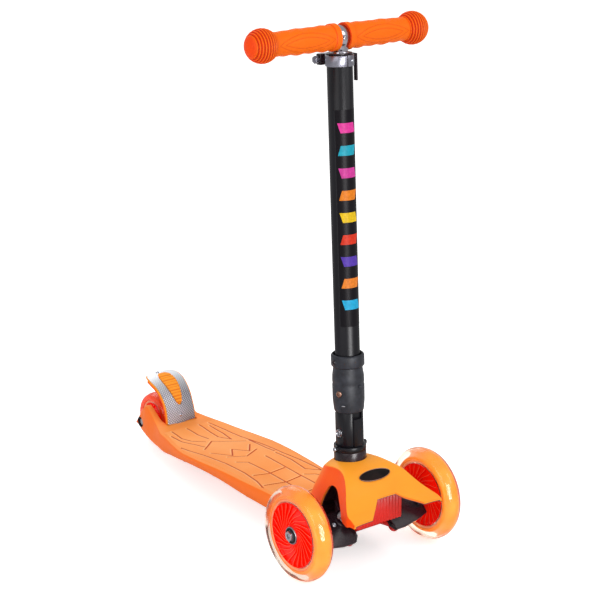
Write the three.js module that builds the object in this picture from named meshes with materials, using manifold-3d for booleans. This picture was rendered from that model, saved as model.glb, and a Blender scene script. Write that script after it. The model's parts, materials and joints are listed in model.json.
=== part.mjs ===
// A three wheel kids scooter that leans to steer, folds at the foot of its column and slides for height.
// Millimetres, +Z up, the front faces -Y. Places are measured from the floor under the front axle,
// and the whole scooter is moved at the end so that the origin lies under the middle of its box.

import * as THREE from 'three';
import { mergeVertices } from 'three/addons/utils/BufferGeometryUtils.js';
import Module from 'manifold-3d';

const wasm = await Module();
wasm.setup();

const radians = THREE.MathUtils.degToRad;

// Driving dimensions of the whole scooter
const wheelbase = 477.6;
const track = 203.2;
const frontRadius = 60;
const rearRadius = 37.5;
const wheelWidth = 25.4;
const deckHeight = 54.4;
const deckHalfWidth = 63.2;
const hoodHeight = 128;
const foldPinRise = 33;
const barHeight = 648.8;
const clampDrop = 27.4;
const barSetback = 56.8;
const barHalfLength = 132;
const rake = radians(3.15);
const foldPinHeight = hoodHeight + foldPinRise;
const clampHeight = barHeight - clampDrop;

// Clearances
const gap = 0.3;
const runningGap = 0.35;
const overrun = 3;
const weld = 1e-4;

// Flats round a full turn
const round = 22;
const small = 12;

// Front and rear wheels: the tyre is cast round a core that runs on two bearings
const bearing = { bore: 4.35, radius: 11, width: 7 };
const hub = { radius: 14.5, halfWidth: 12, spacerRadius: 6.4 };
const frontCore = {
  radius: 44, rim: 4.6, halfWidth: 10.6, web: 1.7, spokes: 10, spokeThickness: 2.1,
  spokeHalfWidth: 7.6, sweep: radians(58), segments: 18,
};
const rearCore = {
  radius: 26.5, rim: 3.4, halfWidth: 10.6, web: 1.7, spokes: 6, spokeThickness: 2.1,
  spokeHalfWidth: 7.6, sweep: radians(34), segments: 20,
};
const tyreShares = [[0, 0.82], [0.28, 1], [0.74, 0.8], [1, 0.22]];
const tyreSegments = 32;
const axle = { radius: 4, headRadius: 6.6, headHeight: 3.6, thread: 24 };

// Lean steering: each arm turns on a kingpin whose top leans forward
const kingpin = {
  offset: 36, tilt: radians(45), radius: 4, headRadius: 7, headHeight: 4.6, above: 33.6, below: 36,
};
const barrel = { radius: 11, below: 16.7, above: 5.4 };
const arm = { tyreClearance: 2.9, hubRadius: 17, hubDepth: 11, halfDepth: 9.5, below: 12, above: 5 };
const rodArm = { offset: 27, tip: 34, thickness: 6.2, studRadius: 3, studHeight: 6.4 };
const tieRod = { eyeRadius: 7, halfWidth: 2.8, thickness: 5, bow: 11, bowHalf: 20 };
const steerSpring = { radius: 7.4, wire: 1.1, pitch: 2.9, turns: 2.9, stepsPerTurn: 8, sides: 5 };

// Chassis: ribbed nose, spine, base with the kingpin bosses, neck socket and tail under the deck
const nose = {
  front: 34, back: 12, split: 25, halfWidth: 38, corner: 6, hoodGap: 36, bottom: 58, ribs: 13, ribDepth: 1.5,
};
const spine = { halfWidth: 18, rodGap: 3 };
const base = { front: 3, back: 53.4, halfWidth: 47, top: 48, bottom: 27.5, footHeight: 33 };
const neck = { radius: 21.4, bore: 15.9, hoodGap: 15 };
const noseTop = hoodHeight - nose.hoodGap;
const neckTop = hoodHeight - neck.hoodGap;
const tail = { halfWidth: 36, length: 50, top: 48.9, bottom: 31 };
const bossGap = 0.5;

// Deck: a moulded tray with pockets under it and two cheeks round the rear wheel
const deck = {
  front: 54, cheekOverhang: 13.4, corner: 3.6, draftShare: 0.041, wall: 4, plate: 4.6, rib: 2.6,
  pocketRear: 79.6, pocketRows: 4, pocketColumns: 3,
};
const deckShares = [
  [0, 0.79, 1, 0.551], [0.06, 0.815, 1, 0.515], [0.128, 0.84, 1, 0.515], [0.197, 0.867, 1, 0.518],
  [0.288, 0.918, 1, 0.561], [0.38, 0.953, 1, 0.625], [0.426, 0.97, 0.991, 0.654],
  [0.471, 0.987, 0.972, 0.664], [0.517, 1, 0.95, 0.664], [0.563, 0.99, 0.923, 0.638],
  [0.609, 0.979, 0.895, 0.607], [0.654, 0.934, 0.884, 0.544], [0.7, 0.877, 0.886, 0.48],
  [0.746, 0.81, 0.9, 0.41], [0.792, 0.753, 0.9, 0.34], [0.826, 0.665, 0.93, 0.335, 0.66],
  [0.86, 0.58, 0.968, 0.336, 0.625], [0.876, 0.555, 1.03, 0.34, 0.603], [0.89, 0.54, 1.1, 0.343, 0.588],
  [0.908, 0.528, 1.2, 0.36, 0.565], [0.924, 0.524, 1.262, 0.376, 0.548], [0.94, 0.518, 1.22, 0.398, 0.528],
  [0.959, 0.51, 1.06, 0.426, 0.506], [0.984, 0.5, 0.8, 0.506, 0.481], [1, 0.49, 0.61, 0.579, 0.465],
];
const well = { side: 2.5, front: 64.6, halfWidth: 25, bossRadius: 9, shelfFront: 81, shelf: 51 };
const rearBolt = { recessRadius: 8, recessDepth: 5.5, headRadius: 5, headHeight: 3 };

// Brake: a sprung foot plate on a pin across the foot of the wheel well
const brakePin = { setback: 56, height: 46, radius: 2.5, halfLength: 30 };
const brake = {
  barrelRadius: 5.6, halfWidth: 25.5, plate: 1.6, liner: 3.2, rim: 1.6, crown: 2.4, steps: 9,
  rise: 60, reach: 53, plateStartShare: 0.04, springHalf: 8.5, barrelHalf: 20.6,
};
const brakeCurveShares = [[-0.075, 0], [-0.02, 0.6], [0.3, 0.97], [1, 1]];
const brakeWidthShares = [
  [0, 0.9], [0.3, 0.87], [0.6, 0.93], [0.8, 1], [0.92, 0.97], [0.975, 0.86], [1, 0.64],
];
const tongue = {
  startShare: 0.3, endShare: 0.94, marginShare: 0.012, halfWidth: 10.5, clearance: 0.35, ribs: 6,
  ribHeight: 0.7,
};
const tongueShares = [[0, 0.12], [0.12, 0.4], [0.45, 0.74], [0.75, 1], [0.92, 0.9], [1, 0.5]];
const brakeSpring = { radius: 4.3, wire: 0.8, pitch: 2.1, turns: 6, stepsPerTurn: 8, sides: 5 };

// Front cover: a sloping hood over the nose with an arch in each side
const cover = { lip: 68, back: 68, halfWidth: 70, wall: 3, drop: 4.4 };
const coverBottom = deckHeight - cover.drop;
const coverShares = [
  [0, 0.985, 0.463, 0.485, 1], [0.059, 0.972, 0.5, 0.526, 0.985], [0.132, 0.943, 0.532, 0.577, 0.964],
  [0.221, 0.836, 0.632, 0.687, 0.886], [0.294, 0.729, 0.751, 0.801, 0.843],
  [0.353, 0.65, 0.842, 0.879, 0.814], [0.441, 0.55, 0.913, 0.949, 0.793],
  [0.537, 0.486, 0.944, 0.987, 0.779], [0.632, 0.471, 0.936, 1, 0.771],
  [0.735, 0.471, 0.898, 0.993, 0.757], [0.824, 0.414, 0.846, 0.949, 0.714],
  [0.89, 0.343, 0.744, 0.859, 0.657], [0.949, 0.286, 0.513, 0.616, 0.586], [1, 0.243, 0.129, 0.166, 0.529],
];
const archShares = [
  [-0.05, 0.409], [0.06, 0.396], [0.13, 0.347], [0.265, 0.321], [0.34, 0.491], [0.4, 0.598],
  [0.456, 0.677], [0.515, 0.711], [0.574, 0.701], [0.605, 0.655], [0.632, 0.508], [0.65, 0.376],
  [0.685, 0.179], [0.7, 0.061], [1.05, 0.061],
];
const notchShares = [[0.58, -0.1], [0.58, 0], [0.2, 0.178], [-0.2, 0.178], [-0.58, 0], [-0.58, -0.1]];
const badge = {
  setback: 20.5, halfLength: 23.5, halfWidth: 8, thickness: 1.5, recess: 1, slope: radians(30),
};

// Column: collar, ring and fork stand on the chassis, the bar folds back on the pin
const collar = { radius: 20.4, rise: 9 };
const ring = { radius: 20.5, height: 6.3, lugRadius: 3.4, lugReach: 24.4 };
const post = { radius: 15.5, bottom: 66 };
const fork = {
  radius: 17.6, ear: 27, slot: 7.2, floor: 17.6, pinRadius: 4, headRadius: 5.4,
  headHeight: 2.4, socketDepth: 1.5, spotDepth: 3.4, spotRadius: 6.3,
};
const forkArcShares = [0, 0.2, 0.4, 0.6, 0.8, 1];
const hinge = { halfWidth: 6.8, proud: 1, foot: 17, spineTop: 19, plugRadius: 13.6, plugTop: 62, back: 14 };
const tube = { radius: 15.6, wall: 1.7, bead: 17.2, beadHeight: 3, beadLevel: 91 };
const sleeve = { top: 101, bore: 16, springBore: 17.7, shoulder: 45, foot: 19.4 };
const sleeveShares = [
  [0, 0.94], [0.03, 0.97], [0.2, 1.03], [0.46, 1.035], [0.485, 1.005], [0.51, 1.03], [0.62, 1.02],
  [0.75, 0.945],
];
const sleeveRing = { radius: 20.8, bottom: 84.5, lugRadius: 3.6, lugReach: 21.8, rim: 1.8 };
const lockSpring = { wire: 0.6, radius: 16.75, turns: 4, stepsPerTurn: 14, sides: 4 };
const bush = { length: 34, flange: 2.2 };
const clamp = {
  radius: 17.3, height: 13.2, split: 1.6, earReach: 28.5, earHalfWidth: 6.7, skewerSetback: 24,
  skewerRadius: 2.5, blockHalf: 4.2, blockThickness: 6, nutThickness: 6, nutRadius: 4.8,
};
const lever = {
  barrelRadius: 5.4, barrelHeight: 12, thickness: 2.6, width: 4.4, drop: 26.5, standoff: 5.3,
  swing: radians(90),
};
const leverSweepShares = [0, 0.25, 0.5, 0.75, 1];
const innerTube = { radius: 10.9, wall: 1.5, bottom: 367 };
const stem = { halfWidth: 6, radius: 13.6, depth: 9, plug: 20 };
const crossbar = { radius: 11, wall: 1.6, halfLength: 100 };
const grip = { start: 6.6, radius: 15, ballRadius: 20.5, ribs: 6, ribDepth: 1, segments: 16 };
const gripShares = [
  [0, 1.09], [0.04, 1.09], [0.045, 0.97], [0.22, 1.03], [0.4, 0.98], [0.6, 1.02], [0.86, 0.95],
];

// Materials
const finish = (color, roughness, metalness) => (
  new THREE.MeshStandardMaterial({ color, roughness, metalness })
);
const orangePlastic = finish(0xff8a2e, 0.45, 0);
const orangeRubber = finish(0xff7316, 0.55, 0);
const redPlastic = finish(0xd8322d, 0.4, 0);
const redCore = finish(0xff2a0c, 0.3, 0);
const clearTyre = finish(0xffa84a, 0.2, 0);
const blackPlastic = finish(0x26262c, 0.5, 0);
const blackPaint = finish(0x2c2c34, 0.35, 0.3);
const silver = finish(0xb9bcc2, 0.3, 0.9);
const steel = finish(0x9a9da2, 0.35, 0.9);

// Frames that turn an outline's two axes and its depth to X, Y and Z
const X = new THREE.Vector3(1, 0, 0);
const Y = new THREE.Vector3(0, 1, 0);
const Z = new THREE.Vector3(0, 0, 1);
const prismFrame = {
  x: new THREE.Matrix4().makeBasis(Y, Z, X),
  y: new THREE.Matrix4().makeBasis(X, Z, Y),
  z: new THREE.Matrix4().makeBasis(X, Y, Z),
};
const latheFrame = {
  x: new THREE.Matrix4().makeBasis(Y, X, Z),
  y: new THREE.Matrix4().makeBasis(X, Y, Z),
  z: new THREE.Matrix4().makeBasis(X, Z, Y),
};

// Six times the signed volume of an indexed mesh, negative when its faces point in
function signedVolume(points, index) {
  const corner = (i) => new THREE.Vector3().fromArray(points, index[i] * 3);
  let total = 0;
  for (let i = 0; i < index.length; i += 3) total += corner(i).dot(corner(i + 1).cross(corner(i + 2)));
  return total;
}

// A closed solid from a geometry: equal corners merged, flat triangles dropped, faces pointing out
function solid(geometry) {
  const bare = new THREE.BufferGeometry();
  bare.setAttribute('position', geometry.attributes.position.clone());
  if (geometry.index) bare.setIndex(geometry.index.clone());
  const merged = mergeVertices(bare, weld);
  const source = merged.index.array;
  const triangles = [];
  for (let i = 0; i < source.length; i += 3) {
    const [a, b, c] = [source[i], source[i + 1], source[i + 2]];
    if (a !== b && b !== c && c !== a) triangles.push(a, b, c);
  }
  if (signedVolume(merged.attributes.position.array, triangles) < 0) triangles.reverse();
  return new wasm.Manifold(new wasm.Mesh({
    numProp: 3,
    vertProperties: Float32Array.from(merged.attributes.position.array),
    triVerts: Uint32Array.from(triangles),
  }));
}

function geometryOf(shape) {
  const { vertProperties, triVerts } = shape.getMesh();
  const geometry = new THREE.BufferGeometry();
  geometry.setAttribute('position', new THREE.BufferAttribute(vertProperties, 3));
  geometry.setIndex(new THREE.BufferAttribute(triVerts, 1));
  return geometry;
}

const join = (...parts) => geometryOf(parts.map(solid).reduce((whole, part) => whole.add(part)));
const cut = (body, ...tools) => (
  geometryOf(tools.map(solid).reduce((left, tool) => left.subtract(tool), solid(body)))
);
const common = (a, b) => geometryOf(solid(a).intersect(solid(b)));

// An outline of pairs, extruded along an axis: (y, z) along x, (x, z) along y and (x, y) along z
function prism(outline, axis, from, to) {
  const shape = new THREE.Shape(outline.map(([a, b]) => new THREE.Vector2(a, b)));
  const geometry = new THREE.ExtrudeGeometry(shape, { depth: to - from, bevelEnabled: false });
  return geometry.translate(0, 0, from).applyMatrix4(prismFrame[axis]);
}

function box([x0, x1], [y0, y1], [z0, z1]) {
  const geometry = new THREE.BoxGeometry(x1 - x0, y1 - y0, z1 - z0);
  return geometry.translate((x0 + x1) / 2, (y0 + y1) / 2, (z0 + z1) / 2);
}

// A closed profile of [radius, place along the axis], turned round an axis
function lathe(profile, axis, segments = round) {
  const closed = [...profile, profile[0]];
  const points = closed.map(([radius, along]) => new THREE.Vector2(Math.max(radius, 0), along));
  return new THREE.LatheGeometry(points, segments).applyMatrix4(latheFrame[axis]);
}

const rod = (radius, axis, from, to, segments = round) =>
  lathe([[0, from], [radius, from], [radius, to], [0, to]], axis, segments);

const pipe = (radius, bore, axis, from, to, segments = round) =>
  lathe([[bore, from], [radius, from], [radius, to], [bore, to]], axis, segments);

// A skin over rings of equal count, closed by a fan at each end
function loft(rings) {
  const count = rings[0].length;
  const points = rings.flat();
  const index = [];
  for (let r = 0; r + 1 < rings.length; r += 1) {
    for (let i = 0; i < count; i += 1) {
      const a = r * count + i;
      const b = r * count + ((i + 1) % count);
      index.push(a, b, b + count, a, b + count, a + count);
    }
  }
  for (const [ring, turn] of [[0, false], [rings.length - 1, true]]) {
    const centre = points.length;
    points.push(rings[ring].reduce((sum, p) => sum.add(p), new THREE.Vector3()).divideScalar(count));
    for (let i = 0; i < count; i += 1) {
      const a = ring * count + i;
      const b = ring * count + ((i + 1) % count);
      index.push(centre, ...(turn ? [a, b] : [b, a]));
    }
  }
  const geometry = new THREE.BufferGeometry().setFromPoints(points);
  geometry.setIndex(index);
  return geometry;
}

const moved = (geometry, x, y, z) => geometry.clone().translate(x, y, z);
const mirrored = (geometry) => geometry.clone().scale(-1, 1, 1);

// A value between the rows of a table whose first column runs from 0 to 1
function between(table, share, column = 1) {
  const next = Math.max(table.findIndex((row) => row[0] >= share), 1);
  const [low, high] = [table[next - 1], table[next]];
  const part = (share - low[0]) / (high[0] - low[0]);
  return low[column] + (high[column] - low[column]) * part;
}

// A coil of round wire along Z, from its foot upwards
function coil({ radius, wire, pitch, turns, stepsPerTurn, sides }, foot) {
  const rings = [];
  for (let i = 0; i <= turns * stepsPerTurn; i += 1) {
    const angle = (i / stepsPerTurn) * 2 * Math.PI;
    const ringPoints = [];
    for (let s = 0; s < sides; s += 1) {
      const turn = (s / sides) * 2 * Math.PI;
      const out = radius + wire * Math.cos(turn);
      const level = foot + wire + (pitch * i) / stepsPerTurn + wire * Math.sin(turn);
      ringPoints.push(new THREE.Vector3(out * Math.cos(angle), out * Math.sin(angle), level));
    }
    rings.push(ringPoints);
  }
  const gaps = rings.slice(stepsPerTurn).map((ring, i) => Math.min(
    ...ring.flatMap((point) => rings[i].map((below) => point.distanceTo(below))),
  ));
  console.log(`least gap between a coil's turns: ${Math.min(...gaps).toFixed(2)} mm`);
  return loft(rings);
}

function mesh(name, geometry, material, parent) {
  const node = new THREE.Mesh(geometryOf(solid(geometry)), material);
  node.name = name;
  parent.add(node);
  return node;
}

function groupAt(parent, x, y, z, turn = 0) {
  const group = new THREE.Group();
  group.position.set(x, y, z);
  group.rotation.x = turn;
  parent.add(group);
  return group;
}

const scooter = new THREE.Group();
const lowest = Math.min(-cover.lip, -frontRadius);
const rearmost = wheelbase + rearRadius;
const body = groupAt(scooter, 0, -(lowest + rearmost) / 2, 0);

// Wheels

function tyreShape(radius, core) {
  const inner = core.radius + gap;
  const half = wheelWidth / 2;
  const side = tyreShares.map(([rise, width]) => [inner + (radius - inner) * rise, half * width]);
  const profile = [...side, ...side.map(([r, x]) => [r, -x]).reverse()];
  return lathe(profile, 'x', radius < frontRadius ? tyreSegments * 0.75 : tyreSegments);
}

// One curved spoke, as an outline round the wheel's centre
function spokeOutline(core, start) {
  const [inner, outer] = [hub.radius - overrun / 2, core.radius - core.rim / 2];
  const edge = (side) => [0, 0.5, 1].map((share) => {
    const radius = inner + (outer - inner) * share;
    const angle = start + core.sweep * share * (2 - share) + (side * core.spokeThickness) / 2 / radius;
    return [radius * Math.cos(angle), radius * Math.sin(angle)];
  });
  return [...edge(-1), ...edge(1).reverse()];
}

function coreShape(core) {
  const seat = bearing.radius + gap;
  const shoulder = hub.halfWidth - bearing.width - gap;
  const rimInner = core.radius - core.rim;
  const half = [
    [hub.spacerRadius + gap, shoulder], [seat, shoulder], [seat, hub.halfWidth], [hub.radius, hub.halfWidth],
    [hub.radius, core.web], [rimInner, core.web], [rimInner, core.halfWidth], [core.radius, core.halfWidth],
  ];
  const profile = [...half, ...half.map(([r, x]) => [r, -x]).reverse()];
  const spokes = [];
  for (let i = 0; i < core.spokes; i += 1) {
    const outline = spokeOutline(core, (i / core.spokes) * 2 * Math.PI);
    spokes.push(prism(outline, 'x', -core.spokeHalfWidth, core.spokeHalfWidth));
  }
  return join(lathe(profile, 'x', core.segments), ...spokes);
}

function addWheel(name, place, radius, core) {
  const group = groupAt(body, place[0], place[1], place[2]);
  mesh(`tyre_${name}`, tyreShape(radius, core), clearTyre, group);
  mesh(`core_${name}`, coreShape(core), redCore, group);
  const inside = hub.halfWidth - bearing.width;
  const race = pipe(bearing.radius, bearing.bore, 'x', inside, hub.halfWidth, small);
  mesh(`bearing_${name}_a`, race, steel, group);
  mesh(`bearing_${name}_b`, mirrored(race), steel, group);
  const spacer = pipe(hub.spacerRadius, bearing.bore, 'x', -inside + gap, inside - gap, 8);
  mesh(`spacer_${name}`, spacer, steel, group);
}

addWheel('left', [track / 2, 0, frontRadius], frontRadius, frontCore);
addWheel('right', [-track / 2, 0, frontRadius], frontRadius, frontCore);
addWheel('rear', [0, wheelbase, rearRadius], rearRadius, rearCore);

// Steering arms, drawn for the left side in the kingpin's own frame: X out, Z along the pin

const wheelReach = track / 2 - kingpin.offset;
const armEnd = wheelReach - wheelWidth / 2 - arm.tyreClearance;
const plateFoot = arm.above - rodArm.thickness;

function armShape() {
  const hubStart = armEnd - arm.hubDepth;
  const beam = prism([
    [0, -arm.halfDepth], [hubStart, -arm.halfDepth], [armEnd, -arm.hubRadius * 0.8],
    [armEnd, arm.hubRadius * 0.8], [hubStart, arm.halfDepth], [0, arm.halfDepth],
  ], 'z', -arm.below, arm.above);
  const rodPlate = prism([
    [-barrel.radius * 0.8, 0], [-barrel.radius * 0.8, -rodArm.offset], [-barrel.radius * 0.3, -rodArm.tip],
    [barrel.radius * 1.2, -rodArm.tip], [armEnd * 0.72, -rodArm.tip * 0.88], [armEnd, -rodArm.tip * 0.76],
    [armEnd, 0],
  ], 'z', plateFoot, arm.above);
  const stud = rod(rodArm.studRadius, 'z', plateFoot - rodArm.studHeight, arm.above / 2, small);
  const whole = join(
    rod(barrel.radius, 'z', -barrel.below, barrel.above), beam, rodPlate, moved(stud, 0, -rodArm.offset, 0),
    rod(arm.hubRadius, 'x', hubStart, armEnd),
    rod(hub.spacerRadius, 'x', hubStart, wheelReach - hub.halfWidth - gap, small),
  );
  return cut(
    whole,
    rod(kingpin.radius + runningGap, 'z', -barrel.below - overrun, barrel.above + overrun),
    rod(axle.radius + gap, 'x', armEnd - axle.thread - gap, wheelReach),
  );
}

function axleShape() {
  const seat = wheelReach + hub.halfWidth + gap;
  const head = rod(axle.headRadius, 'x', seat, seat + axle.headHeight, 6);
  const socket = rod(axle.headRadius * 0.5, 'x', seat + axle.headHeight * 0.4, seat + axle.headHeight * 2, 6);
  const shank = rod(axle.radius, 'x', armEnd - axle.thread, seat + axle.headHeight / 2);
  return cut(join(shank, head), socket);
}

function kingpinShape() {
  const seat = -kingpin.below - gap;
  const head = rod(kingpin.headRadius, 'z', seat - kingpin.headHeight, seat, 6);
  return join(rod(kingpin.radius, 'z', seat - kingpin.headHeight / 2, kingpin.above), head);
}

for (const [name, side] of [['left', 1], ['right', -1]]) {
  const frame = groupAt(body, side * kingpin.offset, 0, frontRadius, kingpin.tilt);
  const handed = (geometry) => (side > 0 ? geometry : mirrored(geometry));
  mesh(`carrier_${name}`, handed(armShape()), blackPlastic, frame);
  mesh(`axle_${name}`, handed(axleShape()), steel, frame);
  mesh(`kingpin_${name}`, kingpinShape(), steel, frame);
  mesh(`steer_spring_${name}`, handed(coil(steerSpring, barrel.above + gap)), steel, frame);
}

// The rod runs behind the arms' plates and bows up under the nose
const rodFrame = groupAt(body, 0, 0, frontRadius, kingpin.tilt);
const rodTop = plateFoot - gap;
const rodBottom = rodTop - tieRod.thickness;

function tieRodShape() {
  const eye = moved(rod(tieRod.eyeRadius, 'z', rodBottom, rodTop), kingpin.offset, -rodArm.offset, 0);
  const hole = moved(
    rod(rodArm.studRadius + runningGap, 'z', rodBottom - overrun, rodTop + overrun, small),
    kingpin.offset, -rodArm.offset, 0,
  );
  const [low, high] = [-rodArm.offset, -rodArm.offset + tieRod.bow];
  const bar = prism([
    [-kingpin.offset, low - tieRod.halfWidth], [-tieRod.bowHalf, high - tieRod.halfWidth],
    [tieRod.bowHalf, high - tieRod.halfWidth], [kingpin.offset, low - tieRod.halfWidth],
    [kingpin.offset, low + tieRod.halfWidth], [tieRod.bowHalf, high + tieRod.halfWidth],
    [-tieRod.bowHalf, high + tieRod.halfWidth], [-kingpin.offset, low + tieRod.halfWidth],
  ], 'z', rodBottom, rodTop);
  return cut(join(bar, eye, mirrored(eye)), hole, mirrored(hole));
}
mesh('tie_rod', tieRodShape(), redPlastic, rodFrame);

// Column frame: its origin is the fold pin, its Z runs up the column

const foldPinSetback = barSetback - (barHeight - foldPinHeight) * Math.tan(rake);
const upColumn = (level) => (level - foldPinHeight) / Math.cos(rake);
const column = groupAt(body, 0, foldPinSetback, foldPinHeight, -rake);
const columnRod = (radius, from, to) => rod(radius, 'z', from, to)
  .rotateX(-rake).translate(0, foldPinSetback, foldPinHeight);

// Chassis

function noseOutline() {
  const flat = nose.halfWidth - nose.corner;
  const pitch = (2 * flat) / (2 * nose.ribs);
  const points = [[-nose.halfWidth, -nose.back], [-nose.halfWidth, -nose.front + nose.corner]];
  for (let i = 0; i <= 2 * nose.ribs; i += 1) {
    points.push([-flat + i * pitch, -nose.front + (i % 2 ? nose.ribDepth : 0)]);
  }
  return [...points, [nose.halfWidth, -nose.front + nose.corner], [nose.halfWidth, -nose.back]];
}

// The tools below are cut in the kingpin's frame, turned back to the body's
const inKingpinFrame = (geometry, x = 0) => (
  geometry.clone().rotateX(kingpin.tilt).translate(x, 0, frontRadius)
);

function chassisShape() {
  const front = -nose.front;
  const neckFoot = base.bottom + (base.top - base.bottom) / 2;
  const spineOutline = [
    [front + nose.ribDepth * 2, noseTop], [-nose.back, noseTop], [foldPinSetback, neckTop],
    [foldPinSetback, base.bottom], [base.front, base.footHeight], [front + nose.ribDepth * 2, nose.bottom],
  ];
  const baseOutline = [
    [base.front, base.footHeight], [foldPinSetback, base.bottom], [base.back, base.bottom],
    [base.back, base.top], [base.front, base.top],
  ];
  const tailFront = base.back - overrun;
  const whole = join(
    prism(noseOutline(), 'z', nose.bottom, noseTop),
    prism(spineOutline, 'x', -spine.halfWidth, spine.halfWidth),
    prism(baseOutline, 'x', -base.halfWidth, base.halfWidth),
    columnRod(neck.radius, upColumn(neckFoot), upColumn(neckTop)),
    box([-tail.halfWidth, tail.halfWidth], [tailFront, base.back + tail.length], [tail.bottom, tail.top]),
  );
  const boss = barrel.below + bossGap;
  const far = track / 2;
  const slab = inKingpinFrame(box([spine.halfWidth, far], [-far, far], [-boss, boss]));
  const tunnelEnd = -rodArm.offset + tieRod.bow + tieRod.halfWidth + spine.rodGap;
  const tunnel = inKingpinFrame(box([-far, far], [-rodArm.tip - far, tunnelEnd], [-far, boss]));
  const bore = inKingpinFrame(rod(kingpin.radius + gap, 'z', -far, kingpin.above + gap), kingpin.offset);
  const counterbore = inKingpinFrame(
    rod(kingpin.headRadius + gap, 'z', -far, -kingpin.below), kingpin.offset,
  );
  return cut(
    whole, slab, mirrored(slab), tunnel, bore, mirrored(bore), counterbore, mirrored(counterbore),
    columnRod(neck.bore, upColumn(post.bottom) - gap, upColumn(neckTop) + overrun),
  );
}

// The ribbed front of the nose is a moulding of its own
const noseRoom = (back) => box([-track, track], [-track, back], [0, hoodHeight]);
const wholeChassis = chassisShape();
mesh('chassis', cut(wholeChassis, noseRoom(-nose.split)), blackPlastic, body);
mesh('nose_block', common(wholeChassis, noseRoom(-nose.split - gap)), redPlastic, body);

// Deck

const deckLength = wheelbase + deck.cheekOverhang - deck.front;

function deckRing(row, inset, wall) {
  const [along, width, top, bottom, foot = width - deck.draftShare] = row;
  const y = deck.front + along * deckLength;
  const half = width * deckHalfWidth - wall;
  const footHalf = foot * deckHalfWidth - wall;
  const [high, low] = [top * deckHeight - inset, bottom * deckHeight];
  const corner = Math.min(deck.corner, (high - low) / 3);
  const side = [
    [footHalf - corner, low], [footHalf, low + corner], [half, high - corner],
    [half - corner * 0.3, high - corner * 0.3], [half - corner, high],
  ];
  const ringPoints = [...side, ...side.map(([x, z]) => [-x, z]).reverse()];
  return ringPoints.map(([x, z]) => new THREE.Vector3(x, y, z));
}

function deckPockets() {
  const pocketFront = base.back + tail.length + deck.plate;
  const pocketBack = wheelbase - deck.pocketRear;
  const rows = deckShares.filter(([along]) => deck.front + along * deckLength < pocketBack);
  const cavityRings = rows.map((row) => deckRing([row[0], row[1], row[2], 0], deck.plate, deck.wall));
  const cavity = loft(cavityRings);
  const step = (pocketBack - pocketFront) / deck.pocketRows;
  const bars = [];
  for (let i = 0; i < deck.pocketRows; i += 1) {
    const y = pocketFront + i * step;
    bars.push(box([-deckHalfWidth, deckHalfWidth], [y - deck.rib / 2, y + deck.rib / 2], [0, deckHeight]));
  }
  for (let i = 1; i < deck.pocketColumns; i += 1) {
    const x = deckHalfWidth * ((2 * i) / deck.pocketColumns - 1);
    bars.push(box([x - deck.rib / 2, x + deck.rib / 2], [pocketFront, pocketBack], [0, deckHeight]));
  }
  return cut(cavity, ...bars);
}

// The cheeks' outer faces at the rear wheel carry a round recess for the axle's heads
const cheekShare = (wheelbase - deck.front) / deckLength;
const recessFloor = deckHalfWidth * between(deckShares, cheekShare) - rearBolt.recessDepth;

function deckShape() {
  const outer = loft(deckShares.map((row) => deckRing(row, 0, 0)));
  const across = [-well.halfWidth, well.halfWidth];
  const far = wheelbase + rearRadius * 2;
  const wellTool = box(across, [wheelbase - well.front, far], [0, hoodHeight]);
  const shelf = box(across, [wheelbase - well.shelfFront, far], [well.shelf, hoodHeight]);
  const atAxle = (geometry) => moved(geometry, 0, wheelbase, rearRadius);
  const recess = atAxle(rod(rearBolt.recessRadius, 'x', recessFloor, deckHalfWidth));
  const axleBore = atAxle(rod(axle.radius + gap, 'x', -deckHalfWidth, deckHalfWidth, small));
  const boss = atAxle(rod(well.bossRadius, 'x', wheelWidth / 2 + well.side, well.halfWidth + gap, small));
  const pinBore = moved(
    rod(brakePin.radius + gap, 'x', -brakePin.halfLength - gap, brakePin.halfLength + gap),
    0, wheelbase - brakePin.setback, brakePin.height,
  );
  const tray = cut(outer, deckPockets(), wellTool, shelf);
  return cut(join(tray, boss, mirrored(boss)), recess, mirrored(recess), axleBore, pinBore);
}
mesh('deck', deckShape(), orangePlastic, body);

function rearAxleShape() {
  const seat = recessFloor + gap;
  const end = seat + rearBolt.headHeight / 2;
  const head = rod(rearBolt.headRadius, 'x', seat, seat + rearBolt.headHeight, 6);
  return join(rod(axle.radius, 'x', -end, end, small), head, mirrored(head));
}
mesh('rear_axle', moved(rearAxleShape(), 0, wheelbase, rearRadius), steel, body);

// Brake

const brakeGroup = groupAt(body, 0, wheelbase - brakePin.setback, brakePin.height);
const pinShape = rod(brakePin.radius, 'x', -brakePin.halfLength, brakePin.halfLength, small);
mesh('brake_pin', pinShape, steel, brakeGroup);

const brakeCurve = new THREE.CubicBezierCurve(
  ...brakeCurveShares.map(([y, z]) => new THREE.Vector2(y * brake.reach, z * brake.rise)),
);

function stations(start, end, steps) {
  const step = (end - start) / steps;
  return Array.from({ length: steps + 1 }, (_, i) => start + step * i);
}

// A strip bent along the brake's curve: its half width and the level of its upper face follow the share
function bentStrip(halfWidth, low, high, shares) {
  const rings = [];
  for (const [i, share] of shares.entries()) {
    const at = brakeCurve.getPoint(share);
    const tangent = brakeCurve.getTangent(share);
    const half = halfWidth(share);
    const at3 = (x, level) => {
      const crown = brake.crown * (1 - (x / brake.halfWidth) ** 2);
      const out = level + crown;
      return new THREE.Vector3(x, at.x - tangent.y * out, at.y + tangent.x * out);
    };
    const across = [-1, 0, 1].map((part) => part * half);
    rings.push([
      ...across.map((x) => at3(x, high(share, i))), ...across.map((x) => at3(x, low)).reverse(),
    ]);
  }
  return loft(rings);
}

const plateHalf = (share) => brake.halfWidth * between(brakeWidthShares, share);
const tongueHalf = (share) => {
  const part = (share - tongue.startShare) / (tongue.endShare - tongue.startShare);
  return tongue.halfWidth * between(tongueShares, Math.min(Math.max(part, 0), 1));
};

const tongueStations = stations(tongue.startShare, tongue.endShare, tongue.ribs * 2);

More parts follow.
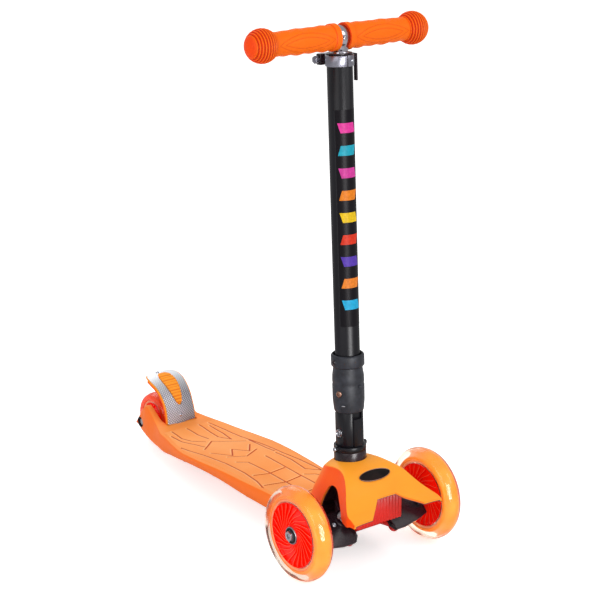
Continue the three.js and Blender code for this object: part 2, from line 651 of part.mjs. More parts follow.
function brakePlateShape() {
  const plate = bentStrip(plateHalf, 0, () => brake.plate, stations(brake.plateStartShare, 1, brake.steps));
  const window = bentStrip(
    (share) => tongueHalf(share) + tongue.clearance, -overrun, () => brake.plate + overrun,
    [tongue.startShare - tongue.marginShare, ...tongueStations, tongue.endShare + tongue.marginShare],
  );
  return cut(plate, window);
}

function brakePedalShape() {
  const liner = bentStrip(
    (share) => plateHalf(share) + brake.rim, -gap - brake.liner, () => -gap, stations(0, 1, brake.steps),
  );
  const tongueSolid = bentStrip(
    tongueHalf, -gap - brake.liner / 2, (share, i) => brake.plate + (i % 2 ? tongue.ribHeight : 0),
    tongueStations,
  );
  const hingeBarrel = rod(brake.barrelRadius, 'x', -brake.barrelHalf, brake.barrelHalf, small);
  const whole = join(liner, tongueSolid, hingeBarrel);
  const springRoom = box(
    [-brake.springHalf, brake.springHalf], [-brake.barrelRadius * 1.2, brake.barrelRadius * 1.3],
    [-brake.barrelRadius * 1.2, brake.barrelRadius],
  );
  const end = brakePin.halfLength;
  return cut(whole, springRoom, rod(brakePin.radius + runningGap, 'x', -end, end, small));
}
mesh('brake_pedal', brakePedalShape(), orangePlastic, brakeGroup);
mesh('brake_plate', brakePlateShape(), silver, brakeGroup);

const brakeCoilLength = brakeSpring.pitch * brakeSpring.turns + 2 * brakeSpring.wire;
const brakeCoil = coil(brakeSpring, -brakeCoilLength / 2).rotateY(Math.PI / 2);
mesh('brake_spring', brakeCoil, steel, brakeGroup);

// Front cover

const coverLength = cover.lip + cover.back;
const coverLevel = (share) => coverBottom + share * (hoodHeight - coverBottom);

function coverRing(row, y, wall) {
  const [, ridge, ridgeLevel, topLevel, side] = row;
  const a = ridge * cover.halfWidth - wall;
  const s = side * cover.halfWidth - wall;
  const zr = coverLevel(ridgeLevel) - wall;
  const zc = coverLevel(topLevel) - wall;
  const zb = coverBottom - wall;
  const half = [
    [s, zb], [a + (s - a) * 0.85, zr + (zb - zr) * 0.5], [a + (s - a) * 0.12, zr + (zb - zr) * 0.07],
    [a * 0.93, zr + (zc - zr) * 0.2], [a * 0.5, zr + (zc - zr) * 0.78],
  ];
  const points = [...half, [0, zc], ...half.map(([x, z]) => [-x, z]).reverse()];
  return points.map(([x, z]) => new THREE.Vector3(x, y, z));
}

function coverShape() {
  const outer = loft(coverShares.map((row) => coverRing(row, -cover.lip + row[0] * coverLength, 0)));
  const innerLength = coverLength - cover.wall;
  const innerRings = coverShares.map((row) => coverRing(row, -cover.lip + row[0] * innerLength, cover.wall));
  const inner = loft([coverRing(coverShares[0], -cover.lip - overrun, cover.wall), ...innerRings]);
  const far = cover.halfWidth + overrun;
  const sidePoints = archShares.map(
    ([along, level]) => [-cover.lip + along * coverLength, coverLevel(level)],
  );
  const archOutline = [[sidePoints[0][0], 0], ...sidePoints, [sidePoints.at(-1)[0], 0]];
  const notch = notchShares.map(([x, along]) => [x * cover.halfWidth, -cover.lip + along * coverLength]);
  const neckHole = columnRod(collar.radius + runningGap, upColumn(base.top), upColumn(hoodHeight) + overrun);
  return cut(
    outer, inner, prism(archOutline, 'x', -far, far), prism(notch, 'z', 0, hoodHeight), neckHole,
    badgeTool(gap),
  );
}

// The badge's ellipse as a disc that lies on the hood
function badgeFrame(geometry) {
  const share = (cover.lip - badge.setback) / coverLength;
  const level = coverLevel(between(coverShares, share, 3));
  return geometry.rotateX(badge.slope).translate(0, -badge.setback, level);
}

function badgeDisc(extra, from, to) {
  const disc = rod(1, 'z', from, to);
  return badgeFrame(disc.scale(badge.halfLength + extra, badge.halfWidth + extra, 1));
}
const badgeTool = (extra) => badgeDisc(extra, -badge.recess - gap, overrun);

mesh('front_cover', coverShape(), orangePlastic, body);
mesh('cover_badge', badgeDisc(0, -badge.recess, badge.thickness - badge.recess), blackPlastic, body);

// Collar, ring and fork at the foot of the column

const collarBottom = upColumn(neckTop) + gap;
const collarTop = upColumn(hoodHeight + collar.rise);
const postBore = post.radius + gap;
mesh('neck_collar', pipe(collar.radius, postBore, 'z', collarBottom, collarTop), blackPlastic, column);

const ringBottom = collarTop + gap;
const ringTop = ringBottom + ring.height;
const lug = rod(ring.lugRadius, 'x', 0, ring.lugReach, small).translate(0, 0, ringBottom + ring.height / 2);
const ringBody = join(rod(ring.radius, 'z', ringBottom, ringTop), lug, mirrored(lug));
const ringBore = rod(postBore, 'z', ringBottom - overrun, ringTop + overrun);
mesh('clamp_ring', cut(ringBody, ringBore), blackPaint, column);

function forkShape() {
  const whole = join(
    rod(post.radius, 'z', upColumn(post.bottom), 0), rod(fork.radius, 'z', ringTop + gap, fork.ear),
  );
  const far = fork.radius + overrun;
  const slot = box([-fork.slot, fork.slot], [-far, far], [-fork.floor, fork.ear + overrun]);
  const backLimit = forkArcShares.map((share) => {
    const angle = (share * Math.PI) / 2;
    return [fork.ear * Math.sin(angle), fork.ear * Math.cos(angle)];
  });
  const outside = fork.ear + far;
  const backCut = prism([...backLimit, [outside, 0], [outside, outside], [0, outside]], 'x', -far, far);
  const spot = rod(fork.spotRadius, 'x', fork.radius - fork.spotDepth, far, small);
  return cut(whole, slot, backCut, spot, mirrored(spot), rod(fork.pinRadius + gap, 'x', -far, far, small));
}
mesh('fold_clevis', forkShape(), blackPaint, column);

function foldPinShape() {
  const seat = fork.radius - fork.spotDepth + gap;
  const face = seat + fork.headHeight;
  const head = rod(fork.headRadius, 'x', -face, -seat, small);
  const socket = rod(fork.headRadius * 0.5, 'x', -face - overrun, fork.socketDepth - face, 6);
  const nut = rod(fork.headRadius, 'x', seat, face, 6);
  return cut(join(rod(fork.pinRadius, 'x', -seat - gap, seat + gap, small), head, nut), socket);
}
mesh('fold_pin', foldPinShape(), silver, column);

// The part that folds: tongue in the fork, tube, clamp and sleeve

const seam = fork.ear + 2 * gap;

function hingeShape() {
  const front = -fork.radius - hinge.proud;
  const arc = [0, 0.25, 0.5, 0.75, 1].map((share) => {
    const angle = share * Math.asin(hinge.back / hinge.foot);
    return [hinge.foot * Math.sin(angle), -hinge.foot * Math.cos(angle)];
  });
  const outline = [
    [front, -hinge.foot], ...arc, [hinge.back, seam + overrun], [-hinge.back, seam + overrun],
    [-hinge.back, hinge.spineTop], [front, hinge.spineTop],
  ];
  const whole = join(
    prism(outline, 'x', -hinge.halfWidth, hinge.halfWidth),
    rod(tube.radius, 'z', seam, seam + overrun), rod(hinge.plugRadius, 'z', seam, hinge.plugTop, 24),
  );
  return cut(whole, rod(fork.pinRadius + runningGap, 'x', -fork.radius, fork.radius, small));
}
mesh('hinge_tongue', hingeShape(), blackPaint, column);

const tubeBottom = seam + overrun + gap;
const clampMiddle = upColumn(clampHeight);
const tubeTop = clampMiddle + clamp.height / 2;
const tubeBore = tube.radius - tube.wall;
const tubeShape = cut(
  join(
    rod(tube.radius, 'z', tubeBottom, tubeTop),
    rod(tube.bead, 'z', tube.beadLevel, tube.beadLevel + tube.beadHeight),
  ),
  rod(tubeBore, 'z', tubeBottom - overrun, tubeTop + overrun),
);
mesh('outer_tube', tubeShape, blackPaint, column);

function bushShape() {
  const [inner, outer] = [innerTube.radius + runningGap, tubeBore - gap];
  const [foot, seat] = [tubeTop - bush.length, tubeTop + gap];
  return lathe([
    [inner, foot], [outer, foot], [outer, seat], [tube.radius, seat],
    [tube.radius, seat + bush.flange], [inner, seat + bush.flange],
  ], 'z', 24);
}
mesh('tube_bush', bushShape(), blackPlastic, column);

const clampBottom = clampMiddle - clamp.height / 2;
const clampTop = clampMiddle + clamp.height / 2;

function clampShape() {
  const ears = box(
    [-clamp.earHalfWidth, clamp.earHalfWidth], [clamp.radius * 0.8, clamp.earReach], [clampBottom, clampTop],
  );
  const far = clamp.earReach + overrun;
  return cut(
    join(rod(clamp.radius, 'z', clampBottom, clampTop), ears),
    rod(tube.radius + gap, 'z', clampBottom - overrun, clampTop + overrun),
    box([-clamp.split / 2, clamp.split / 2], [0, far], [clampBottom - overrun, clampTop + overrun]),
    rod(clamp.skewerRadius + gap, 'x', -far, far, small).translate(0, clamp.skewerSetback, clampMiddle),
  );
}
mesh('seat_clamp', clampShape(), silver, column);

const blockStart = clamp.earHalfWidth + gap;
const nutStart = blockStart + clamp.blockThickness;
const leverAxis = blockStart + lever.barrelRadius;
const atSkewer = (geometry) => geometry.translate(0, clamp.skewerSetback, clampMiddle);

const skewerShape = join(
  rod(
    clamp.skewerRadius, 'x', -nutStart - clamp.nutThickness / 2, leverAxis - lever.barrelRadius * 0.4, small,
  ),
  rod(clamp.nutRadius, 'x', -nutStart - clamp.nutThickness - gap, -nutStart - gap, 6),
);
mesh('clamp_skewer', atSkewer(skewerShape), steel, column);

const blockShape = cut(
  box([-nutStart, -blockStart], [-clamp.blockHalf, clamp.blockHalf], [-clamp.height / 2, clamp.height / 2]),
  rod(clamp.skewerRadius + gap, 'x', -nutStart - overrun, -blockStart + overrun, small),
);
mesh('clamp_block', atSkewer(blockShape), blackPlastic, column);

// The lever wraps round the clamp from its barrel and hangs down beside the tube
function leverShape() {
  const half = lever.barrelHeight / 2;
  const side = clamp.radius + lever.standoff;
  const outside = side + lever.thickness;
  const back = clamp.skewerSetback;
  const halfWidth = lever.width / 2;
  const wrap = prism([
    [leverAxis, back + lever.barrelRadius], [outside - overrun, back + lever.barrelRadius * 0.6],
    [outside, back * 0.5], [outside, -halfWidth], [side, -halfWidth],
    [side, back * 0.45], [leverAxis, back - lever.barrelRadius],
  ], 'z', clampMiddle - half, clampMiddle + half);
  const paddle = box([side, outside], [-halfWidth, halfWidth], [clampMiddle - lever.drop, clampMiddle]);
  const barrelRod = rod(lever.barrelRadius, 'z', clampMiddle - half, clampMiddle + half, small)
    .translate(leverAxis, back, 0);
  // The room that the skewer needs in the barrel while the lever swings open
  const room = clamp.skewerRadius + gap;
  const reach = lever.barrelRadius * 1.1;
  const sweep = leverSweepShares.map((share) => {
    const angle = Math.PI - share * lever.swing;
    return [leverAxis + reach * Math.cos(angle), back + reach * Math.sin(angle)];
  });
  const skewerRoom = prism([
    [leverAxis, back - room], [leverAxis - reach, back - room], ...sweep,
    [leverAxis + room, back + reach], [leverAxis + room, back],
  ], 'z', clampMiddle - room, clampMiddle + room);
  return cut(join(wrap, paddle, barrelRod), skewerRoom);
}
mesh('clamp_lever', leverShape(), blackPlastic, column);

// Lock sleeve with its ring and spring

const sleeveFoot = fork.ear + gap;

function sleeveShape() {
  const length = sleeve.top - sleeveFoot;
  const outside = sleeveShares.map(([share, wide]) => [sleeve.foot * wide, sleeveFoot + share * length]);
  const neckRadius = outside.at(-1)[0];
  return lathe([
    ...outside, [neckRadius, sleeve.top], [sleeve.springBore, sleeve.top],
    [sleeve.springBore, sleeve.shoulder], [sleeve.bore, sleeve.shoulder], [sleeve.bore, sleeveFoot],
  ], 'z');
}
mesh('lock_sleeve', sleeveShape(), blackPlastic, column);

function sleeveRingShape() {
  const inner = sleeve.foot * sleeveShares.at(-1)[1] + gap;
  const middle = (sleeveRing.bottom + sleeve.top) / 2;
  const lugRod = rod(sleeveRing.lugRadius, 'x', 0, sleeveRing.lugReach, small).translate(0, 0, middle);
  const { radius, bottom, rim } = sleeveRing;
  const band = lathe([
    [0, bottom], [radius - rim, bottom], [radius, bottom + rim], [radius, sleeve.top - rim],
    [radius - rim, sleeve.top], [0, sleeve.top],
  ], 'z');
  const whole = join(band, lugRod, mirrored(lugRod));
  return cut(whole, rod(inner, 'z', sleeveRing.bottom - overrun, sleeve.top + overrun));
}
mesh('sleeve_ring', sleeveRingShape(), blackPlastic, column);

const springRoom = tube.beadLevel - sleeve.shoulder - 2 * gap - 2 * lockSpring.wire;
const lockCoil = coil({ ...lockSpring, pitch: springRoom / lockSpring.turns }, sleeve.shoulder + gap);
mesh('lock_spring', lockCoil, steel, column);

// Handle

const barLevel = upColumn(barHeight);
const innerTop = barLevel - grip.radius * gripShares[0][1] - 2 * gap;
const innerBore = innerTube.radius - innerTube.wall;
const innerTubeShape = pipe(innerTube.radius, innerBore, 'z', upColumn(innerTube.bottom), innerTop);
mesh('inner_tube', innerTubeShape, silver, column);

// The T piece between the grips: a ring round the bar and a plug in the tube
function stemShape() {
  const neckBottom = innerTop + gap;
  const neckBlock = box(
    [-stem.halfWidth, stem.halfWidth], [-stem.depth, stem.depth], [neckBottom, barLevel],
  );
  return cut(
    join(
      rod(stem.radius, 'x', -stem.halfWidth, stem.halfWidth).translate(0, 0, barLevel), neckBlock,
      rod(innerBore - gap, 'z', innerTop - stem.plug, neckBottom),
    ),
    rod(crossbar.radius + gap, 'x', -crossbar.halfLength, crossbar.halfLength).translate(0, 0, barLevel),
  );
}
mesh('bar_stem', stemShape(), silver, column);
const barPipe = pipe(
  crossbar.radius, crossbar.radius - crossbar.wall, 'x', -crossbar.halfLength, crossbar.halfLength, 28,
);
mesh('crossbar', barPipe.translate(0, 0, barLevel), silver, column);

function gripShape() {
  const ballCentre = barHalfLength - grip.ballRadius;
  const bodyLength = ballCentre - grip.start;
  const bodyPoints = gripShares.map(
    ([share, wide]) => [grip.radius * wide, grip.start + share * bodyLength],
  );
  const ball = [];
  const [first, last] = [radians(135), radians(38)];
  for (let i = 0; i <= 2 * grip.ribs; i += 1) {
    const angle = first + ((last - first) * i) / (2 * grip.ribs);
    const radius = grip.ballRadius - (i % 2 ? grip.ribDepth : 0);
    ball.push([radius * Math.sin(angle), ballCentre + radius * Math.cos(angle)]);
  }
  for (const share of [0.6, 0.25, 0]) {
    const angle = last * share;
    ball.push([grip.ballRadius * Math.sin(angle), ballCentre + grip.ballRadius * Math.cos(angle)]);
  }
  const boreEnd = crossbar.halfLength + gap;
  const bore = crossbar.radius + gap;
  const inside = [[0, boreEnd], [bore, boreEnd], [bore, grip.start]];
  return lathe([...bodyPoints, ...ball, ...inside], 'x', grip.segments);
}
const gripBody = gripShape().translate(0, 0, barLevel);
mesh('grip_left', gripBody, orangeRubber, column);
mesh('grip_right', mirrored(gripBody), orangeRubber, column);

export default scooter;
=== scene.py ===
"""Looks of a three wheel kids scooter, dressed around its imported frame.

The frame and Blender are in metres. The sizes and tables below are in millimetres, and MM makes them metres.
"""

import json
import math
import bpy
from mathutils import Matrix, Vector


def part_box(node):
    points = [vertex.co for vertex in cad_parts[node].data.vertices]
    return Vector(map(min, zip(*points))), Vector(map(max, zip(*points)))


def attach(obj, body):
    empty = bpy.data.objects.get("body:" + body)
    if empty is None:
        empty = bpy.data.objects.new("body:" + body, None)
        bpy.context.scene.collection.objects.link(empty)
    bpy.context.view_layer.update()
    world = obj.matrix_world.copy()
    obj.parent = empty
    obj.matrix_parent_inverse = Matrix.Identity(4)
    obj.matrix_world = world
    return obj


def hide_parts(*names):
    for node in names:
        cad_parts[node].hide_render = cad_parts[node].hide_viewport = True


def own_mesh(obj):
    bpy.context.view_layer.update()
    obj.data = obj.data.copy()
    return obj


bl_info = {
    "name": "Three wheel kids scooter",
    "version": (1, 1, 0),
    "blender": (4, 5, 0),
    "location": "View3D > Sidebar > Scooter",
    "description": "Dresses the scooter's frame with its moulded, turned and coiled pieces",
    "category": "Object",
}

from functools import partial

import bmesh
import bpy
import numpy as np
from mathutils import Matrix, Vector

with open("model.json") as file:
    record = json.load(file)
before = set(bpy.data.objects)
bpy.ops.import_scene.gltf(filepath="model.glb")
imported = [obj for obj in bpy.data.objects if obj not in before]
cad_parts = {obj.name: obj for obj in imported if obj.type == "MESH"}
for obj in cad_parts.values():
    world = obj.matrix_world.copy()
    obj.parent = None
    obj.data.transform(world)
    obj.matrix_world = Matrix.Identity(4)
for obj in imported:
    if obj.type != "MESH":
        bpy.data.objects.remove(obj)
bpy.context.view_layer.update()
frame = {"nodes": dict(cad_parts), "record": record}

MM = 0.001
JOINTS = {joint["name"]: joint for joint in frame["record"]["behaviour"]["joints"]}
WHEEL = {side: Vector(JOINTS[f"spin_{side}"]["pos_m"]) for side in ("left", "right", "rear")}
FRONT_Y = WHEEL["left"].y
DECK_TOP = frame["record"]["mounts"][0]["pos_m"][2]

# Frames of the pieces: a turned piece is drawn along Z and then laid in one of these
TO_X = Matrix(((0, 0, 1), (0, 1, 0), (-1, 0, 0))).to_4x4()
MIRROR_X = Matrix.Diagonal((-1, 1, 1, 1))
# The left is as drawn and the right its mirror image
SIDES = (("left", 1), ("right", -1))
HANDS = (("left", Matrix()), ("right", MIRROR_X))
UP = Vector(JOINTS["height"]["axis"]).normalized()
FOLD_PIN = Vector(JOINTS["fold"]["pos_m"])
COLUMN = Matrix.Translation(FOLD_PIN) @ Matrix(
    (Vector((1, 0, 0)), UP.cross(Vector((1, 0, 0))), UP)
).transposed().to_4x4()
BRAKE_PIN = Vector(JOINTS["brake_press"]["pos_m"])
KINGPIN_TILT = math.radians(45)


def kingpin_frame(side):
    """The steering arm's own frame: its origin on the axle line, X outwards, Z along the kingpin."""
    joint = JOINTS["steer_left" if side > 0 else "steer_right"]
    place = Matrix.Translation(Vector(joint["pos_m"])) @ Matrix.Rotation(KINGPIN_TILT, 4, "X")
    return place if side > 0 else place @ MIRROR_X


def on_column(level, degrees, radius):
    """A place on the column, in millimetres up from the fold pin, facing out in a direction round it."""
    return (
        COLUMN @ Matrix.Rotation(math.radians(degrees), 4, "Z")
        @ Matrix.Translation((radius * MM, 0, level * MM)) @ Matrix.Rotation(math.pi / 2, 4, "Y")
    )


# ---- colours and materials


def linear(code):
    """An sRGB hex colour as linear red, green and blue."""
    parts = [int(code[i : i + 2], 16) / 255 for i in (1, 3, 5)]
    return tuple(c / 12.92 if c <= 0.04045 else ((c + 0.055) / 1.055) ** 2.4 for c in parts)


def tint(colour):
    """The linear values of a colour, which is a hex code or the name of one of the scooter's finishes."""
    return linear(colour) if colour[0] == "#" else getattr(bpy.context.scene.scooter_finish, colour)


def per_metre(millimetres):
    """The scale of a pattern whose features are this far apart."""
    return 1 / (millimetres * MM)


def feed(node, inputs):
    """Fills a node's inputs, by name or in order, with values, colours, or the nodes or sockets to link."""
    named = isinstance(inputs, dict)
    sockets = [node.inputs[key] for key in inputs] if named else [s for s in node.inputs if s.enabled]
    for socket, value in zip(sockets, inputs.values() if named else inputs):
        if isinstance(value, bpy.types.Node):
            value = next(output for output in value.outputs if output.enabled)
        if isinstance(value, bpy.types.NodeSocket):
            node.id_data.links.new(value, socket)
        else:
            socket.default_value = (*tint(value), 1) if isinstance(value, str) else value


def add(tree, kind, inputs=(), **settings):
    """Adds a shader node with its settings and what feeds it."""
    node = tree.nodes.new("ShaderNode" + kind)
    for key, value in settings.items():
        setattr(node, key, value)
    feed(node, inputs)
    return node


def emptied(owner):
    """The node tree of a new material or world, with nothing in it."""
    owner.use_nodes = True
    owner.node_tree.nodes.clear()
    return owner.node_tree


def surface(name, color, roughness, **sockets):
    """A material with its Principled shader: returns the material, its tree and the shader."""
    made = bpy.data.materials.new(name)
    tree = emptied(made)
    shader = add(tree, "BsdfPrincipled", {
        "Base Color": color, "Roughness": roughness,
        **{key.replace("_", " "): value for key, value in sockets.items()},
    })
    add(tree, "OutputMaterial", (shader,))
    return made, tree, shader


# Nearly all of a noise lies between these
SPREAD = (0.3, 0.7)
# Over how much of a face's turn the painted shade's deeper tone comes in: to its side, and down to its lower
# limit
FLANK_SHADE_TURN, UNDER_SHADE_TURN = (0.4, 0.88), 0.65


def pattern(tree, spacing_mm, detail=2.0, roughness=0.5, stretch=(1, 1, 1)):
    """A noise in the piece's own space, stretched along its axes."""
    place = add(tree, "TexCoord").outputs["Object"]
    laid = add(tree, "Mapping", {"Vector": place, "Scale": stretch})
    return add(tree, "TexNoise", {
        "Vector": laid, "Scale": per_metre(spacing_mm), "Detail": detail, "Roughness": roughness,
    })


def layered(tree, tone, *layers):
    """A colour under others: a layer covers it as its value runs from low to high."""
    for value, low, high, over in layers:
        share = add(tree, "MapRange", (value, low, high))
        tone = add(tree, "Mix", (share, tone, over), data_type="RGBA")
    return tone


def moulded(name, base, deep, roughness, grain_mm=0.9, relief_mm=0.05, gloss=0.15, crease=None, under=-0.6):
    """Injection-moulded plastic with a spark-eroded grain, with painted shade: deeper in tone on its flanks
    and underside.
    """
    made, tree, shader = surface(name, base, roughness, Specular_IOR_Level=gloss)
    # Painted shade: faces turned to the side or downwards take the deeper tone
    facing = add(tree, "TexCoord").outputs["Normal"]
    normal = add(tree, "SeparateXYZ", (facing,)).outputs
    across = add(tree, "Math", (normal["X"],), operation="ABSOLUTE")
    flank = add(tree, "MapRange", (across, *FLANK_SHADE_TURN))
    below = add(tree, "MapRange", (normal["Z"], under + UNDER_SHADE_TURN, under))
    shade = add(tree, "Math", (flank, below), operation="MAXIMUM")
    cloud = add(tree, "MapRange", (pattern(tree, 55, 3.0), *SPREAD, -0.06, 0.1))
    shade = add(tree, "Math", (shade, cloud), operation="ADD", use_clamp=True)
    tone = add(tree, "Mix", (shade, base, deep), data_type="RGBA")
    # Painted shade in creases: the crease tone follows the groove attribute
    if crease:
        groove = add(tree, "Attribute", attribute_name="groove").outputs["Fac"]
        tone = add(tree, "Mix", (groove, tone, crease), data_type="RGBA")
    fine = pattern(tree, grain_mm, 3.0, 0.6)
    feed(shader, {
        "Base Color": tone,
        "Roughness": add(tree, "MapRange", (fine, *SPREAD, roughness - 0.06, roughness + 0.08)),
        "Normal": add(tree, "Bump", {"Height": fine, "Strength": 0.35, "Distance": relief_mm * MM}),
    })
    return made


def clouded(
    name, color, roughness, cloud, tones=(), shine=(), relief=(), grain=(), spread=SPREAD, crest=None,
    **sockets,
):
    """A finish with clouds of tone, shine or relief; the relief may have a grain of its own instead."""
    made, tree, shader = surface(name, color, roughness, **sockets)
    slow = pattern(tree, *cloud)
    if tones:
        layers = [(slow, *spread, tones[1])]
        # Painted highlight: the crest tone follows the groove attribute on the crests
        if crest:
            groove = add(tree, "Attribute", attribute_name="groove").outputs["Fac"]
            layers.append((groove, 0.75, 1.0, crest))
        feed(shader, {"Base Color": layered(tree, tones[0], *layers)})
    if shine:
        feed(shader, {"Roughness": add(tree, "MapRange", (slow, *spread, *shine))})
    if relief:
        strength, depth_mm = relief
        height = pattern(tree, *grain) if grain else slow
        raised = add(tree, "Bump", {"Height": height, "Strength": strength, "Distance": depth_mm * MM})
        feed(shader, {"Normal": raised})
    return made


def brushed(name, color, low, high, stretch=(1, 1, 1)):
    """Metal with fine lines drawn out along one axis by the tool that finished it."""
    return clouded(
        name, color, (low + high) / 2, (0.9, 2.0, 0.6, stretch), shine=(low, high), relief=(0.15, 0.03),
        Metallic=1.0,
    )


def cast(name, color, far):
    """Milky polyurethane, poured and cured: a soft shine, with slow clouds of colour."""
    return clouded(
        name, color, 0.3, (25, 3.0), (color, far), relief=(0.08, 0.4), IOR=1.45, Specular_IOR_Level=0.3,
    )


def stippled():
    """The deck's ABS as a stippled face, with painted shade in its grooves and a painted highlight on the
    lips beside them.
    """
    made, tree, shader = surface("Stippled ABS tread", "tread", 0.5, Specular_IOR_Level=0.15)
    relief = add(tree, "Attribute", attribute_name="groove").outputs["Fac"]
    # Painted shade darkens the grooves, and a painted highlight pales the lips on one side of them
    tone = layered(
        tree, "tread", (pattern(tree, 70, 3.0), *SPREAD, "tread_far"), (relief, 0.0, -1.0, "tread_lip_highlight"),
        (relief, 0.05, 0.55, "groove"),
    )
    # The real stipple is about 0.4 mm across, drawn coarser so that it shows
    stipple = pattern(tree, 1.1)
    raised = add(tree, "Bump", {"Height": stipple, "Strength": 0.4, "Distance": 0.12 * MM})
    feed(shader, {"Base Color": tone, "Normal": raised})
    return made


def stamped():
    """Stamped aluminium with a close diamond of raised dots, with painted shade between them, polished bright
    towards its lip.
    """
    made, tree, shader = surface("Stamped aluminium plate", "#9b989e", 0.34, Metallic=1.0)
    place = add(tree, "UVMap", uv_map="plate")
    # The dots stand about 1.5 mm apart and are drawn at 2.8 mm so that they show
    laid = add(tree, "Mapping", {
        "Vector": place, "Rotation": (0, 0, math.radians(45)), "Scale": (per_metre(2.8), per_metre(2.8), 1),
    })
    dots = add(
        tree, "TexVoronoi", {"Vector": laid, "Scale": 1.0, "Randomness": 0.0},
        feature="F1", voronoi_dimensions="2D",
    )
    along = add(tree, "SeparateXYZ", (place,)).outputs["Y"]
    dome = add(tree, "MapRange", (dots, 0.2, 0.5, 1.0, 0.0))
    # Painted shade between the dots, with their crowns paler
    dots_with_painted_shade = add(tree, "Mix", (dome, "#67646b", "#b2afb4"), data_type="RGBA")
    feed(shader, {
        "Base Color": layered(tree, dots_with_painted_shade, (along, 0.045, 0.085, "#eef1f6")),
        "Roughness": add(tree, "MapRange", (dome, 0.0, 1.0, 0.5, 0.28)),
        "Normal": add(tree, "Bump", {"Height": dome, "Strength": 0.9, "Distance": 0.35 * MM}),
    })
    return made


def ink(code):
    """Printing ink on the tube's film: flat, with a faint speckle."""
    darker = (*(0.8 * c for c in linear(code)), 1)
    return clouded(
        "Screen ink " + code[1:], code, 0.45, (3,), (code, darker), spread=(0.35, 0.65),
        Specular_IOR_Level=0.1,
    )


INKS = [
    "#28b0e0", "#f0862c", "#5a3cb0", "#e2381e", "#f2c81c", "#f0861e", "#d840a0", "#22a8c0", "#e83ca0",
]
